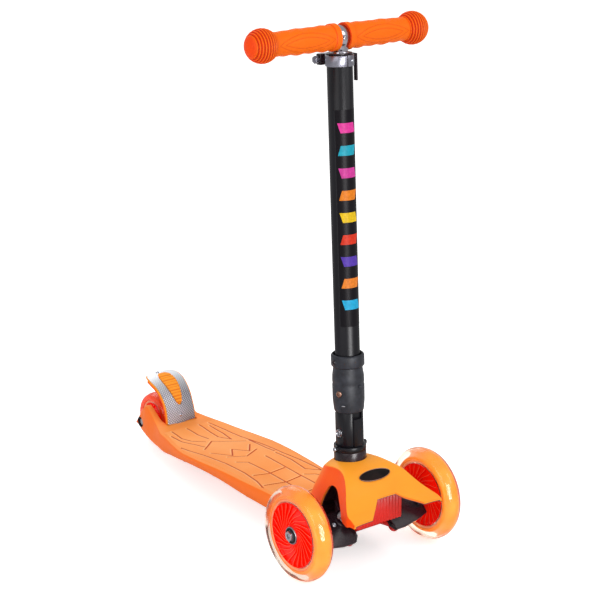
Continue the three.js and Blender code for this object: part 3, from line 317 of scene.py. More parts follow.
# Each finish of the scooter; after its name come its colours and its roughness. Spark grain, brushed lines,
# orange peel and ink speckle are really 0.1 to 0.5 mm across, and are drawn at 0.7 to 3 mm so that they show.
MAKERS = {
    # Orange ABS, injection moulded with a fine spark grain: satin and warm, with painted shade on its flanks
    # and underside
    "shell": partial(moulded, "Moulded ABS orange", "shell", "shell_painted_shade", 0.42),
    # The deck's ABS: a paler top and deeper flanks, painted as light on the top and as shade on the sides
    "apricot": partial(moulded, "Moulded ABS apricot", "tread", "deck_side_painted_shade", 0.42),
    "tread": stippled,
    # Orange ABS of the brake's ribbed tongue, with painted shade in its furrows and on its flanks
    "tongue": partial(moulded, "Moulded ABS amber", "tongue", "shell", 0.45, crease="tongue_furrow_shade"),
    # Red ABS for the nose block and the tie rod: semi-gloss, with painted shade on its flanks and underside
    "red": partial(moulded, "Moulded ABS red", "red", "red_painted_shade", 0.3, gloss=0.25),
    # Orange thermoplastic rubber, moulded over the bar: soft and matt, with painted shade on its ends and a
    # redder painted shade in its creases
    "grip": partial(
        moulded, "Moulded rubber orange", "grip", "grip_painted_shade", 0.5, 0.7, 0.06, 0.1, "grip_crease_shade", -2,
    ),
    # Black glass-filled nylon: moulded, with a faint shine on its skin and painted shade on its flanks and
    # underside
    "nylon": partial(moulded, "Glass-filled nylon black", "#2a1a22", "#1d1218", 0.26, 1.2, 0.08, 0.3),
    # The same nylon unpolished inside the hood: matt, painted paler than the black nylon as painted fill
    # light where little light reaches, with painted shade on its flanks
    "lining": partial(moulded, "Glass-filled nylon matt", "#6a4c57", "#503942", 0.6, 1.2, 0.08, 0.1),
    # Red polycarbonate, a little translucent, with a painted glow: a faint emission lights the cores though
    # they are no lamp, and a painted highlight lies on the crests of the vanes
    "core": partial(
        clouded, "Tinted polycarbonate red", "core", 0.16, (14,), ("core", "core_deep"), relief=(0.1, 0.2),
        spread=(0.35, 0.65), crest="core_crest_highlight", IOR=1.58, Specular_IOR_Level=0.15, Subsurface_Weight=0.15,
        # Painted glow: a faint emission in the core's own colour
        Subsurface_Radius=(0.02, 0.004, 0.002), Subsurface_Scale=0.4, Emission_Color="core",
        Emission_Strength=0.12,
    ),
    # Clear cast polyurethane, the tyre itself: glossy, faintly amber, and bends light like thick glass
    "urethane": partial(
        clouded, "Cast polyurethane clear", "tyre", 0.05, (18,), shine=(0.09, 0.15), IOR=1.38,
        Transmission_Weight=1.0,
    ),
    # Orange cast polyurethane: the band round a front core, seen through the clear tyre
    "band": partial(cast, "Cast polyurethane orange", "band", "band_far"),
    # Red cast polyurethane: the band round the rear core
    "band_red": partial(cast, "Cast polyurethane red", "#ff5410", "#ff4008"),
    # Pale cast polyurethane at the tyre's root, where it grips the core
    "root": partial(cast, "Cast polyurethane salmon", "root", "#ffb488"),
    # Black soft rubber over the lock sleeve: matt, blue-black and a little uneven
    "sleeve": partial(
        clouded, "Moulded rubber black", "#24252d", 0.5, (9, 4.0, 0.6), ("#1d1e25", "#31333c"),
        relief=(0.35, 0.5), Specular_IOR_Level=0.25,
    ),
    # Black powder coat on steel: orange-peel relief under a satin sheen
    "powder": partial(
        clouded, "Powder-coated steel black", "#100f15", 0.33, (60, 3.0), ("#0d0c11", "#15141b"),
        relief=(0.15, 0.08), grain=(1.4, 1.0), Specular_IOR_Level=0.2,
    ),
    # Polished aluminium: bright, with faint turning lines
    "aluminium": partial(brushed, "Polished aluminium", "#a5a3aa", 0.12, 0.26, (1, 1, 0.06)),
    # Die-cast zinc of the clamp, tumbled and plated: a darker, softer shine
    "casting": partial(brushed, "Plated zinc casting", "#7b7a84", 0.28, 0.42),
    # Zinc-plated steel: a soft grey shine with small spots
    "steel": partial(brushed, "Zinc-plated steel", "#a3a5ab", 0.2, 0.4),
    # Bronze-plated screw: brown and bright
    "bronze": partial(brushed, "Bronze-plated steel", "#8b6a5c", 0.25, 0.4),
    "plate": stamped,
    # Black nitrile seal of the ball bearings: matt rubber
    "seal": partial(
        clouded, "Nitrile seal black", "#0c0b0d", 0.6, (0.8,), relief=(0.2, 0.05), Specular_IOR_Level=0.2,
    ),
    # Black enamel under a clear dome of resin: the plain badge on the hood
    "badge": partial(
        clouded, "Domed enamel black", "#120b0b", 0.1, (20,), ("#0d0808", "#1f1412"), spread=(0.4, 0.6),
        Specular_IOR_Level=0.12,
    ),
    # Black vinyl film on the tube: a shade darker and flatter than the powder coat
    "strip": partial(
        clouded, "Vinyl film black", "#141116", 0.4, (14,), relief=(0.05, 0.3), Specular_IOR_Level=0.08,
    ),
    **{f"ink_{i}": partial(ink, code) for i, code in enumerate(INKS)},
}
MATERIALS = {}


def material(key):
    """The material of that name, made once."""
    if key not in MATERIALS:
        MATERIALS[key] = MAKERS[key]()
    return MATERIALS[key]


# ---- meshes


def linked(name, data):
    """A new object in the scene with this mesh, lamp or camera."""
    made = bpy.data.objects.new(name, data)
    bpy.context.scene.collection.objects.link(made)
    return made


def listed(name, verts, faces, depths):
    """An object from points and faces just as they are listed, with a groove depth per point."""
    mesh = bpy.data.meshes.new(name)
    mesh.from_pydata(verts, [], faces)
    mesh.attributes.new("groove", "FLOAT", "POINT").data.foreach_set("value", depths)
    return linked(name, mesh)


def new_mesh(name, verts, faces, place=None, grooves=None):
    """An object from points and faces: doubles merged, faces turned out, with a groove depth per point."""
    mesh = bpy.data.meshes.new(name)
    built = bmesh.new()
    depth = built.verts.layers.float.new("groove") if grooves is not None else None
    made = [built.verts.new(Vector(v)) for v in verts]
    if depth:
        for vertex, value in zip(made, grooves):
            vertex[depth] = value
    for face in faces:
        built.faces.new([made[i] for i in face])
    bmesh.ops.remove_doubles(built, verts=built.verts, dist=1e-7)
    bmesh.ops.recalc_face_normals(built, faces=built.faces)
    if place is not None:
        bmesh.ops.transform(built, matrix=place, verts=built.verts)
        if place.to_3x3().determinant() < 0:
            bmesh.ops.reverse_faces(built, faces=built.faces)
    built.to_mesh(mesh)
    built.free()
    return linked(name, mesh)


def shade(piece, key, angle):
    """Gives a piece its material and smooth shading, with edges left sharp from an angle in degrees."""
    mesh = piece.data
    mesh.materials.clear()
    mesh.materials.append(material(key))
    mesh.polygons.foreach_set("use_smooth", [True] * len(mesh.polygons))
    mesh.set_sharp_from_angle(angle=math.radians(angle))


def add_bevel(piece, width_mm):
    """Rounds a piece's sharp edges as a mould or a deburring tool leaves them."""
    edge = piece.modifiers.new("rounded edges", "BEVEL")
    edge.width = width_mm * MM
    edge.segments = 2
    edge.limit_method = "ANGLE"
    edge.angle_limit = math.radians(38)
    edge.harden_normals = True


def finish_piece(piece, key, body, replaces=(), angle=35, bevel_mm=0.0):
    """Gives a piece its material, soft edges and body, and hides the nodes that it stands for."""
    shade(piece, key, angle)
    if bevel_mm:
        add_bevel(piece, bevel_mm)
    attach(piece, body)
    if replaces:
        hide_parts(*replaces)
    return piece


def dress(names, key, bevel_mm=0.3):
    """Gives CAD nodes their material, smooth shading and soft edges."""
    for name in names:
        node = frame["nodes"][name]
        shade(node, key, 33)
        node.modifiers.new("weld", "WELD").merge_threshold = 1e-6
        add_bevel(node, bevel_mm)


# Steps round a tyre's skin, the rest of a wheel, and small parts
FINE_ROUND, WHEEL_ROUND, SMALL_ROUND = 120, 96, 48


def polar(radius, angle, level):
    """A point round Z in metres, from millimetres and an angle."""
    return (radius * MM * math.cos(angle), radius * MM * math.sin(angle), level * MM)


def mirrored(side):
    """One side's profile of (radius, along), followed back by its mirror image."""
    return [*side, *((r, -x) for r, x in reversed(side))]


def quads(total, count, rings_meet, ends_meet):
    """Faces between points in rings of a count; the last ring may meet the first, and a ring itself."""
    return [
        (start + i, start + j, (start + j + count) % total, (start + i + count) % total)
        for start in range(0, total if rings_meet else total - count, count)
        for i, j in ((i, (i + 1) % count) for i in range(count if ends_meet else count - 1))
    ]


def turned(name, profile, place, segments=64):
    """A closed profile of (radius, along) in millimetres, turned round Z and laid in place."""
    angles = [2 * math.pi * i / segments for i in range(segments)]
    verts = [polar(r, angle, h) for angle in angles for r, h in profile]
    return new_mesh(name, verts, quads(len(verts), len(profile), True, True), place)


def skinned(name, rings, place=None, grooves=None):
    """A skin over rings of equal count, in metres, with a flat face at each end."""
    count, total = len(rings[0]), len(rings) * len(rings[0])
    faces = quads(total, count, False, True)
    faces += [tuple(range(count)), tuple(range(total - count, total))]
    return new_mesh(name, [point for ring in rings for point in ring], faces, place, grooves)


def tube_along(name, points, radius, place=None, sides=10):
    """A round wire of one radius along a list of points."""
    points = [Vector(p) for p in points]
    normal = Vector((0, 0, 1)).cross(points[1] - points[0])
    if normal.length < 1e-9:
        normal = Vector((1, 0, 0))
    rings = []
    for i, point in enumerate(points):
        ahead = points[min(i + 1, len(points) - 1)] - points[max(i - 1, 0)]
        ahead.normalize()
        normal = (normal - ahead * normal.dot(ahead)).normalized()
        side = ahead.cross(normal)
        rings.append([
            point + normal * (radius * math.cos(2 * math.pi * s / sides))
            + side * (radius * math.sin(2 * math.pi * s / sides)) for s in range(sides)
        ])
    return skinned(name, rings, place)


# The coil springs' radius, wire, pitch, turns and foot, in millimetres
COILS = {
    "kingpin": (7.4, 1.1, 2.9, 2.9, 5.7), "brake": (4.3, 0.8, 2.1, 6, -7.1),
    "lock": (16.75, 0.6, 11.05, 4, 45.3),
}


def coil(name, kind, place, steps=28):
    """A coil spring of round wire along Z."""
    radius, wire, pitch, turns, foot = COILS[kind]
    points = [
        polar(radius, 2 * math.pi * i / steps, foot + wire + pitch * i / steps)
        for i in range(int(turns * steps) + 1)
    ]
    return tube_along(name, points, wire * MM, place, 12)


def extruded(name, outline, depth, place=None):
    """An outline of (x, y) in metres, extruded along Z from 0 to a depth."""
    return skinned(name, [[(x, y, z) for x, y in outline] for z in (0, depth)], place)


def block(name, sizes, place, key, body, bevel_mm=0.3):
    """A small block of (width, height, thickness) in millimetres with rounded edges, standing along Z."""
    w, h, t = (size * MM / 2 for size in sizes)
    outline = [(-w, -h), (w, -h), (w, h), (-w, h)]
    piece = extruded(name, outline, 2 * t, place)
    return finish_piece(piece, key, body, bevel_mm=bevel_mm)


def carved(target, cutters):
    """Cuts tools out of a piece and keeps the result as its mesh."""
    for tool in cutters:
        cut = target.modifiers.new("cut", "BOOLEAN")
        cut.operation = "DIFFERENCE"
        cut.solver = "EXACT"
        cut.object = tool
    bpy.context.view_layer.update()
    shape = bpy.data.meshes.new_from_object(
        target.evaluated_get(bpy.context.evaluated_depsgraph_get())
    )
    target.modifiers.clear()
    target.data = shape
    for tool in cutters:
        bpy.data.objects.remove(tool)
    return target


def joined(name, parts, groove):
    """Several bodies as one piece; a rule gives each point its groove depth."""
    verts, faces = [], []
    for part in parts:
        start = len(verts)
        verts += [v.co.copy() for v in part.data.vertices]
        faces += [tuple(start + i for i in polygon.vertices) for polygon in part.data.polygons]
        bpy.data.objects.remove(part)
    return listed(name, verts, faces, [groove(v) for v in verts])


def spline(rows, count):
    """Points spread evenly along a smooth curve through rows of numbers."""
    rows = np.array(rows, float)
    padded = np.vstack([2 * rows[0] - rows[1], rows, 2 * rows[-1] - rows[-2]])
    out = []
    for s in np.linspace(0, len(rows) - 1, count):
        i = min(int(s), len(rows) - 2)
        t = s - i
        p0, p1, p2, p3 = padded[i : i + 4]
        out.append(0.5 * (
            2 * p1 + (p2 - p0) * t + (2 * p0 - 5 * p1 + 4 * p2 - p3) * t * t
            + (3 * p1 - p0 - 3 * p2 + p3) * t ** 3
        ))
    return np.array(out)


def table(rows, x, column=1):
    """The value at x between the rows of a table."""
    return float(np.interp(x, [row[0] for row in rows], [row[column] for row in rows]))


def screw(name, place, radius, height, key="steel", body="chassis_body", socket=0.52):
    """A button-head screw with a hexagonal socket, standing along Z."""
    profile = [(0, 0), (1, 0), (1, 0.35), (0.92, 0.72), (0.72, 0.95), (socket, 1), (socket, 0.45), (0, 0.4)]
    verts = []
    for i in range(SMALL_ROUND):
        angle = 2 * math.pi * i / SMALL_ROUND
        hexagon = math.cos(math.pi / 6) / math.cos(angle % (math.pi / 3) - math.pi / 6)
        for j, (r, h) in enumerate(profile):
            verts.append(polar(r * hexagon * radius if j in (5, 6) else r * radius, angle, h * height))
    faces = quads(len(verts), len(profile), True, False)
    return finish_piece(new_mesh(name, verts, faces, place), key, body, angle=40)


# ---- deck

DECK_FRONT, DECK_LENGTH, DECK_HALF = 54.0, 437.0, 63.2
# Shares of the deck's length, its half width and its height
DECK_ROWS = [
    (0, 0.79, 1), (0.06, 0.815, 1), (0.128, 0.84, 1), (0.197, 0.867, 1), (0.288, 0.918, 1),
    (0.38, 0.953, 1), (0.426, 0.97, 0.991), (0.471, 0.987, 0.972), (0.517, 1, 0.95),
    (0.563, 0.99, 0.923), (0.609, 0.979, 0.895), (0.654, 0.934, 0.884), (0.7, 0.877, 0.886),
    (0.746, 0.81, 0.9), (0.792, 0.753, 0.9),
]
TREAD_START, TREAD_END, TREAD_MARGIN, TREAD_SKIRT = 62.0, 396.0, 5.5, 0.3
TREAD_ALONG, TREAD_ACROSS = 420, 150
TREAD_LIFT, GROOVE_SLOPE, LIP_AWAY, LIP_WIDTH, LIP_RISE, LIP_CREST = 0.05, 0.8, 1.0, 0.7, 0.3, 1.3
# The side of a groove, across and back, on which its raised lip with a painted highlight stands
LIP_SIDE = (-1.0, 0.4)

# Moulded grooves of the tread, as points (across, behind the front axle) in millimetres
GROOVES = [
    [(-53, 336), (-46, 290), (-42, 245), (-41, 200), (-44, 168), (-50, 146)],
    [(29, 390), (34, 356), (37, 311), (40, 271), (41, 226), (45, 193), (47, 150)],
    [(14, 392), (12, 362), (11, 339), (20, 320), (24, 345), (24, 380)],
    [(-28, 238), (-16, 228), (-14, 188), (-15, 120)],
    [(16, 232), (15, 191), (14, 153), (14, 100)],
    [(34, 234), (36, 200), (32, 164), (47, 147)],
    [(36, 300), (35, 256), (36, 240)],
    [(-36, 187), (-16, 180), (12, 184)],
    [(-44, 152), (-14, 144), (14, 149)],
    [(20, 150), (32, 142), (45, 120)],
    [(-32, 392), (-34, 364), (-28, 348), (-14, 335)],
    [(-42, 378), (-40, 354), (-31, 334), (-26, 318)],
    [(-8, 390), (-8, 362), (-4, 342)],
    [(-32, 309), (-6, 331), (19, 309), (30, 300)],
    [(-34, 290), (-18, 262), (-4, 284), (10, 262), (26, 284)],
    [(-26, 262), (-4, 248), (22, 262)],
    [(-46, 110), (-14, 102), (14, 107), (46, 98)],
    [(-44, 84), (-14, 78), (14, 82), (44, 76)],
]


def tread_relief(points, width):
    """Each point's depth in the grooves, from 0 to 1, or its place on the lip beside one, down to -1."""
    nearest = np.full(len(points), 1e3)
    leaning = np.zeros(len(points))
    for line in GROOVES:
        for start, end in zip(line, line[1:]):
            a, d = np.array(start), np.subtract(end, start)
            share = np.clip((points - a) @ d / (d @ d), 0, 1)
            off = points - a - share[:, None] * d
            distance = np.linalg.norm(off, axis=1)
            leaning = np.where(distance < nearest, off @ LIP_SIDE, leaning)
            nearest = np.minimum(nearest, distance)
    groove = np.clip((width / 2 + GROOVE_SLOPE / 2 - nearest) / GROOVE_SLOPE, 0, 1)
    lip = np.clip(LIP_CREST - np.abs(nearest - width / 2 - LIP_AWAY) / LIP_WIDTH, 0, 1) * (leaning > 0)
    return np.where(groove > 0, groove, -lip)


class SCOOTER_OT_deck(bpy.types.Operator):
    """Dress the deck and add its tread: a thin stippled face whose grooves run down to the moulding"""

    bl_idname = "scooter.deck"
    bl_label = "Deck"

    def execute(self, context):
        sizes = context.scene.scooter_sizes
        dress(["deck"], "apricot", 0.5)
        dress(["rear_axle"], "steel")
        grid, border = [], []
        for i in range(TREAD_ALONG + 1):
            y = TREAD_START + (TREAD_END - TREAD_START) * i / TREAD_ALONG
            share = (y - DECK_FRONT) / DECK_LENGTH
            half = table(DECK_ROWS, share) * DECK_HALF - TREAD_MARGIN
            level = table(DECK_ROWS, share, 2) * DECK_TOP / MM
            for j in range(TREAD_ACROSS + 1):
                grid.append((half * (2 * j / TREAD_ACROSS - 1), y, level))
                border.append(i in (0, TREAD_ALONG) or j in (0, TREAD_ACROSS))
        points, edge = np.array(grid), np.array(border)
        relief = tread_relief(points[:, :2], sizes.groove_width / MM)
        rise = sizes.tread_rise / MM * (1 - np.maximum(relief, 0)) - LIP_RISE * np.minimum(relief, 0)
        level = np.where(edge, points[:, 2] - TREAD_SKIRT, points[:, 2] + TREAD_LIFT + rise)
        verts = [(x * MM, y * MM + FRONT_Y, z * MM) for (x, y, _), z in zip(grid, level)]
        faces = quads(len(verts), TREAD_ACROSS + 1, False, False)
        tread = listed("deck_tread", verts, faces, relief.astype(np.float32))
        finish_piece(tread, "tread", "chassis_body", angle=60)
        low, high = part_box("rear_axle")
        axle = Matrix.Translation((0, (low.y + high.y) / 2, (low.z + high.z) / 2))
        profile = [(5.3, -3.2), (7.8, -3.2), (7.8, 1.4), (7.2, 1.9), (6.6, 1.4), (6.2, -2.4), (5.3, -2.4)]
        profile = [(r, high.x / MM + x) for r, x in profile]
        for name, hand in HANDS:
            cup = turned(f"axle_cup_{name}", profile, axle @ hand @ TO_X, SMALL_ROUND)
            finish_piece(cup, "nylon", "chassis_body")
        return {"FINISHED"}


# ---- hood

HOOD_LIP, HOOD_LENGTH, HOOD_HALF, HOOD_BOTTOM, HOOD_TOP = 68.0, 136.0, 70.0, 50.0, 128.0
HOOD_WALL, LINING_WALL, LINING_GAP = 2.3, 3.0, 0.05
NECK_CUT = (-110, -20)
BADGE_TILT, BADGE_HALF, BADGE_DOME, RIM_HALF, RIM_WIRE = math.radians(30), 8.0, 0.75, 23.2, 0.45
# Shares: along the hood, half width and level of its ridge, level of its top, and half width of its side
HOOD_ROWS = [
    (0, 0.985, 0.463, 0.485, 1), (0.059, 0.972, 0.5, 0.526, 0.985), (0.132, 0.943, 0.532, 0.577, 0.964),
    (0.221, 0.836, 0.632, 0.687, 0.886), (0.294, 0.729, 0.751, 0.801, 0.843),
    (0.353, 0.65, 0.842, 0.879, 0.814), (0.441, 0.55, 0.913, 0.949, 0.793),
    (0.537, 0.486, 0.944, 0.987, 0.779), (0.632, 0.471, 0.936, 1, 0.771),
    (0.735, 0.471, 0.898, 0.993, 0.757), (0.824, 0.414, 0.846, 0.949, 0.714),
    (0.89, 0.343, 0.744, 0.859, 0.657), (0.949, 0.286, 0.513, 0.616, 0.586),
    (1, 0.243, 0.129, 0.166, 0.529),
]
# Shares along the hood and up it
ARCH_ROWS = [
    (-0.05, 0.409), (0.06, 0.396), (0.13, 0.347), (0.265, 0.321), (0.34, 0.491), (0.4, 0.598),
    (0.456, 0.677), (0.515, 0.711), (0.574, 0.701), (0.605, 0.655), (0.632, 0.508), (0.65, 0.376),
    (0.685, 0.179), (0.7, 0.061), (1.05, 0.061),
]
NOTCH = [(0.58, -0.1), (0.58, 0), (0.2, 0.178), (-0.2, 0.178), (-0.58, 0), (-0.58, -0.1)]


def hood_level(share):
    """The height of a share of the hood, measured from its lower edge."""
    return HOOD_BOTTOM + share * (HOOD_TOP - HOOD_BOTTOM)


def hood_ring(row, y, wall, count=56):
    """One station of the hood: its cross section with rounded shoulders, in metres."""
    _, ridge, ridge_level, top_level, side = row
    a, s = ridge * HOOD_HALF - wall, side * HOOD_HALF - wall
    zr, zc, zb = hood_level(ridge_level) - wall, hood_level(top_level) - wall, HOOD_BOTTOM - wall
    half = [
        (s, zb), (a + (s - a) * 0.85, zr + (zb - zr) * 0.5), (a + (s - a) * 0.12, zr + (zb - zr) * 0.07),
        (a * 0.93, zr + (zc - zr) * 0.2), (a * 0.5, zr + (zc - zr) * 0.78),
    ]
    section = spline([*half, (0, zc), *[(-x, z) for x, z in reversed(half)]], count)
    section[:, 1] = np.maximum(section[:, 1], zb)
    return [(x * MM, y * MM + FRONT_Y, z * MM) for x, z in section]


def hood_body(name, wall, front_extra=0.0):
    """The hood's outer or inner form as a closed body."""
    length = HOOD_LENGTH - wall
    rows = spline(HOOD_ROWS, 72)
    rings = [hood_ring(row, -HOOD_LIP + row[0] * length, wall) for row in rows]
    if front_extra:
        rings.insert(0, hood_ring(rows[0], -HOOD_LIP - front_extra, wall))
    return skinned(name, rings)


def hood_y(share):
    """Where a share of the hood's length lies, in metres."""
    return (-HOOD_LIP + share * HOOD_LENGTH) * MM + FRONT_Y


def hood_tools(wall):
    """The bodies that hollow a hood to its wall and open its arch, its notch and its neck."""
    arch = [(hood_y(along), hood_level(level) * MM) for along, level in spline(ARCH_ROWS, 60)]
    arch = [(arch[0][0], 0.0), *arch, (arch[-1][0], 0.0)]
    side = (HOOD_HALF + 3) * MM
    notch = [(x * HOOD_HALF * MM, hood_y(along)) for x, along in NOTCH]
    low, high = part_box("neck_collar")
    radius = (high.x - low.x) / 2 / MM + 0.5
    neck = [(0, NECK_CUT[0]), (radius, NECK_CUT[0]), (radius, NECK_CUT[1]), (0, NECK_CUT[1])]
    return [
        hood_body("inner", wall, 3.0),
        skinned("arch", [[(x, y, z) for y, z in arch] for x in (-side, side)]),
        extruded("notch", notch, HOOD_TOP * MM),
        turned("neck", neck, COLUMN),
    ]


class SCOOTER_OT_hood(bpy.types.Operator):
    """Build the moulded hood over the front, with an arch in each side, and its plain badge"""

    bl_idname = "scooter.hood"
    bl_label = "Hood"

    def execute(self, context):
        shells = (("front_hood", 0.0, HOOD_WALL), ("hood_lining", HOOD_WALL + LINING_GAP, LINING_WALL))
        hood, lining = [carved(hood_body(*shell[:2]), hood_tools(shell[2])) for shell in shells]
        finish_piece(lining, "lining", "chassis_body")
        finish_piece(hood, "shell", "chassis_body", ["front_cover"], angle=32, bevel_mm=0.5)
        low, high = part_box("cover_badge")
        tilt = Matrix.Translation((low + high) / 2) @ Matrix.Rotation(BADGE_TILT, 4, "X")
        dome = turned(
            "hood_badge", [(0, -1), (1, -1), (1, 0.3), (0.97, 0.6), (0.9, 0.8), (0.6, 1.05), (0, 1.15)],
            tilt @ Matrix.Diagonal(((high.x - low.x) / 2 / MM, BADGE_HALF, BADGE_DOME, 1)),
        )
        finish_piece(dome, "badge", "chassis_body", ["cover_badge"])
        angles = [2 * math.pi * i / 72 for i in range(73)]
        rim_points = [
            (math.cos(a) * RIM_HALF * MM, math.sin(a) * BADGE_HALF * MM, 0.5 * MM) for a in angles
        ]
        rim = tube_along("badge_rim", rim_points, RIM_WIRE * MM, tilt, 8)
        finish_piece(rim, "bronze", "chassis_body")
        return {"FINISHED"}


# ---- steering

APRON_HALF, APRON_WALL, APRON_FOOT, APRON_LAP = 33, 1.2, 33, 12
BOLT_PLACE = (16.4 * MM, -4.9 * MM, 4.9 * MM)


class SCOOTER_OT_steering(bpy.types.Operator):
    """Dress the chassis, the leaning arms and the tie rod, and wind the kingpins' springs"""

    bl_idname = "scooter.steering"
    bl_label = "Steering"

    def execute(self, context):
        dress(["nose_block", "tie_rod"], "red")
        dress(["chassis"], "lining", 0.5)
        dress(["carrier_left", "carrier_right"], "nylon", 0.5)
        dress(["kingpin_left", "kingpin_right", "axle_left", "axle_right"], "steel", 0.25)
        deck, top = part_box("deck")[0].y / MM, DECK_TOP / MM
        front, back, lap = deck - APRON_WALL, deck - 0.1, deck + APRON_LAP
        outline = [
            (front, APRON_FOOT), (back, APRON_FOOT), (back, top + 0.1), (lap, top + 0.1),
            (lap, top + APRON_WALL), (front, top + APRON_WALL),
        ]
        rings = [[(x * MM, y * MM, z * MM) for y, z in outline] for x in (-APRON_HALF, APRON_HALF)]
        finish_piece(skinned("neck_apron", rings), "lining", "chassis_body", bevel_mm=0.3)
        for name, side in SIDES:
            place = kingpin_frame(side)
            spring = coil(f"kingpin_spring_{name}", "kingpin", place)
            finish_piece(spring, "steel", "chassis_body", [f"steer_spring_{name}"])
            bolt = place @ Matrix.Translation(BOLT_PLACE)
            screw(f"arm_bolt_{name}", bolt, 2.9, 1.8, body=f"arm_{name}")
        return {"FINISHED"}


# ---- wheels

# Shares of the tyre's height and of its half width
TYRE_SECTION = [(0, 0.82), (0.1, 0.93), (0.28, 1), (0.52, 0.96), (0.74, 0.8), (0.9, 0.5), (1, 0.16)]
TYRE_HALF, VANE_HALF = 12.7, 10.0
# Every core's hub radius, and half the width of the web between its hub and rim
HUB, WEB = 13.2, 7.6
FRONT_CORE = {
    "tyre": 60.0, "radius": 44.0, "rim": 40.8, "vanes": 24, "band": (5.2, 8.6), "sweep": math.radians(58),
    "band_key": "band",
}
REAR_CORE = {
    "tyre": 37.5, "radius": 26.5, "rim": 23.8, "vanes": 14, "band": (7.2, 9.6), "sweep": math.radians(34),
    "band_key": "band_red",
}


def vane_rings(core, start, thickness):
    """One curved vane of a core: rings along its length, round the wheel's axis."""
    rings = []
    for share in np.linspace(0, 1, 12):
        radius = HUB - 1 + (core["rim"] - HUB + 1.5) * share
        angle = start + core["sweep"] * share * (2 - share)
        foot, crest = thickness / 2 / radius, thickness / 4 / radius
        shoulder = VANE_HALF - 1
        rings.append([
            polar(radius, angle + turn, level) for turn, level in (
                (-crest, -VANE_HALF), (crest, -VANE_HALF), (foot, -shoulder), (foot, shoulder),
                (crest, VANE_HALF), (-crest, VANE_HALF), (-foot, shoulder), (-foot, -shoulder),
            )
        ])
    return rings


def build_wheel(name, core):
    """One wheel: the clear tyre over its coloured band, the vaned core and the bearings."""
    body, centre = f"wheel_{name}", WHEEL[name]
    place = Matrix.Translation(centre) @ TO_X
    inner, outer, rim = core["radius"] + 0.3, core["tyre"], core["rim"]
    side = [(inner + (outer - inner) * rise, TYRE_HALF * width) for rise, width in TYRE_SECTION]
    line = spline(mirrored([(rim + 0.3, 9.2), (rim + 0.6, 10.0), *side]), 72)
    skin = turned(f"tyre_skin_{name}", [(min(r, outer), x) for r, x in line], place, FINE_ROUND)
    finish_piece(skin, "urethane", body, [f"tyre_{name}"])
    rise, half = core["band"]
    side = [
        (inner + 0.7, half - 0.5), (inner + 1.2, half), (inner + rise * 0.6, half),
        (inner + rise, half * 0.7),
    ]
    band = turned(f"tyre_band_{name}", spline(mirrored(side), 40), place, WHEEL_ROUND)
    finish_piece(band, core["band_key"], body)
    side = [(inner - 2.2, 8.2), (inner - 1.6, 8.8), (inner, 8.8), (inner + 0.5, 8.2)]
    finish_piece(turned(f"tyre_root_{name}", mirrored(side), place, WHEEL_ROUND), "root", body)
    side = [
        (6.7, 4.7), (11.3, 4.7), (11.3, 10.8), (11.7, 11.2), (HUB - 0.5, 11.0), (HUB + 1.2, WEB + 0.6),
        (HUB + 3, WEB), (rim - 2.2, WEB), (rim - 1.3, WEB + 0.8), (rim - 0.9, WEB + 2.6), (rim, WEB + 2.2),
    ]
    parts = [turned("disc", mirrored(side), place, WHEEL_ROUND)]
    thickness = bpy.context.scene.scooter_sizes.vane_thickness / MM
    for i in range(core["vanes"]):
        parts.append(skinned("vane", vane_rings(core, 2 * math.pi * i / core["vanes"], thickness), place))

    def crest_highlight_mask(point):
        """1 on the outer edge of a vane, between the hub and the rim, and otherwise 0: the mask of the
        painted highlight on the vanes' crests.
        """
        out, reach = abs(point.x - centre.x), math.hypot(point.y - centre.y, point.z - centre.z)
        return float(out > (VANE_HALF - 0.4) * MM and (HUB + 0.8) * MM < reach < (rim - 1.4) * MM)

    core_piece = joined(f"core_vanes_{name}", parts, crest_highlight_mask)
    finish_piece(core_piece, "core", body, [f"core_{name}"])
    dress([f"bearing_{name}_a", f"bearing_{name}_b", f"spacer_{name}"], "steel")
    profile = [(6.6, 11.9), (10.0, 11.9), (10.0, 12.15), (9.6, 12.25), (6.9, 12.25), (6.6, 12.1)]
    for end, turn in (("a", Matrix()), ("b", Matrix.Rotation(math.pi, 4, "X"))):
        seal = turned(f"seal_{name}_{end}", profile, place @ turn, SMALL_ROUND)
        finish_piece(seal, "seal", body)


class SCOOTER_OT_wheels(bpy.types.Operator):
    """Build the three wheels: clear tyres over coloured bands, vaned cores and sealed bearings"""

    bl_idname = "scooter.wheels"
    bl_label = "Wheels"

    def execute(self, context):
        for name, core in (("left", FRONT_CORE), ("right", FRONT_CORE), ("rear", REAR_CORE)):
            build_wheel(name, core)
        return {"FINISHED"}


# ---- brake

BRAKE_RISE, BRAKE_REACH, BRAKE_HALF, BRAKE_PLATE, BRAKE_CROWN = 60.0, 53.0, 25.5, 1.6, 2.4
# The four places that bend the brake's curve, and widths along it, as shares
BRAKE_CURVE = [(-0.075, 0), (-0.02, 0.6), (0.3, 0.97), (1, 1)]
BRAKE_WIDTH = [(0, 0.9), (0.3, 0.87), (0.6, 0.93), (0.8, 1), (0.92, 0.97), (0.975, 0.86), (1, 0.64)]
TONGUE_WIDTH = [
    (0, 0.2), (0.06, 0.4), (0.2, 0.6), (0.45, 0.86), (0.7, 1), (0.88, 0.94), (0.96, 0.75), (1, 0.45),
]
TONGUE_START, TONGUE_END, TONGUE_HALF, TONGUE_RIBS = 0.3, 0.91, 11.5, 12
TONGUE_RISE, WINDOW_GAP, WINDOW_END = 0.35, 0.35, 0.012


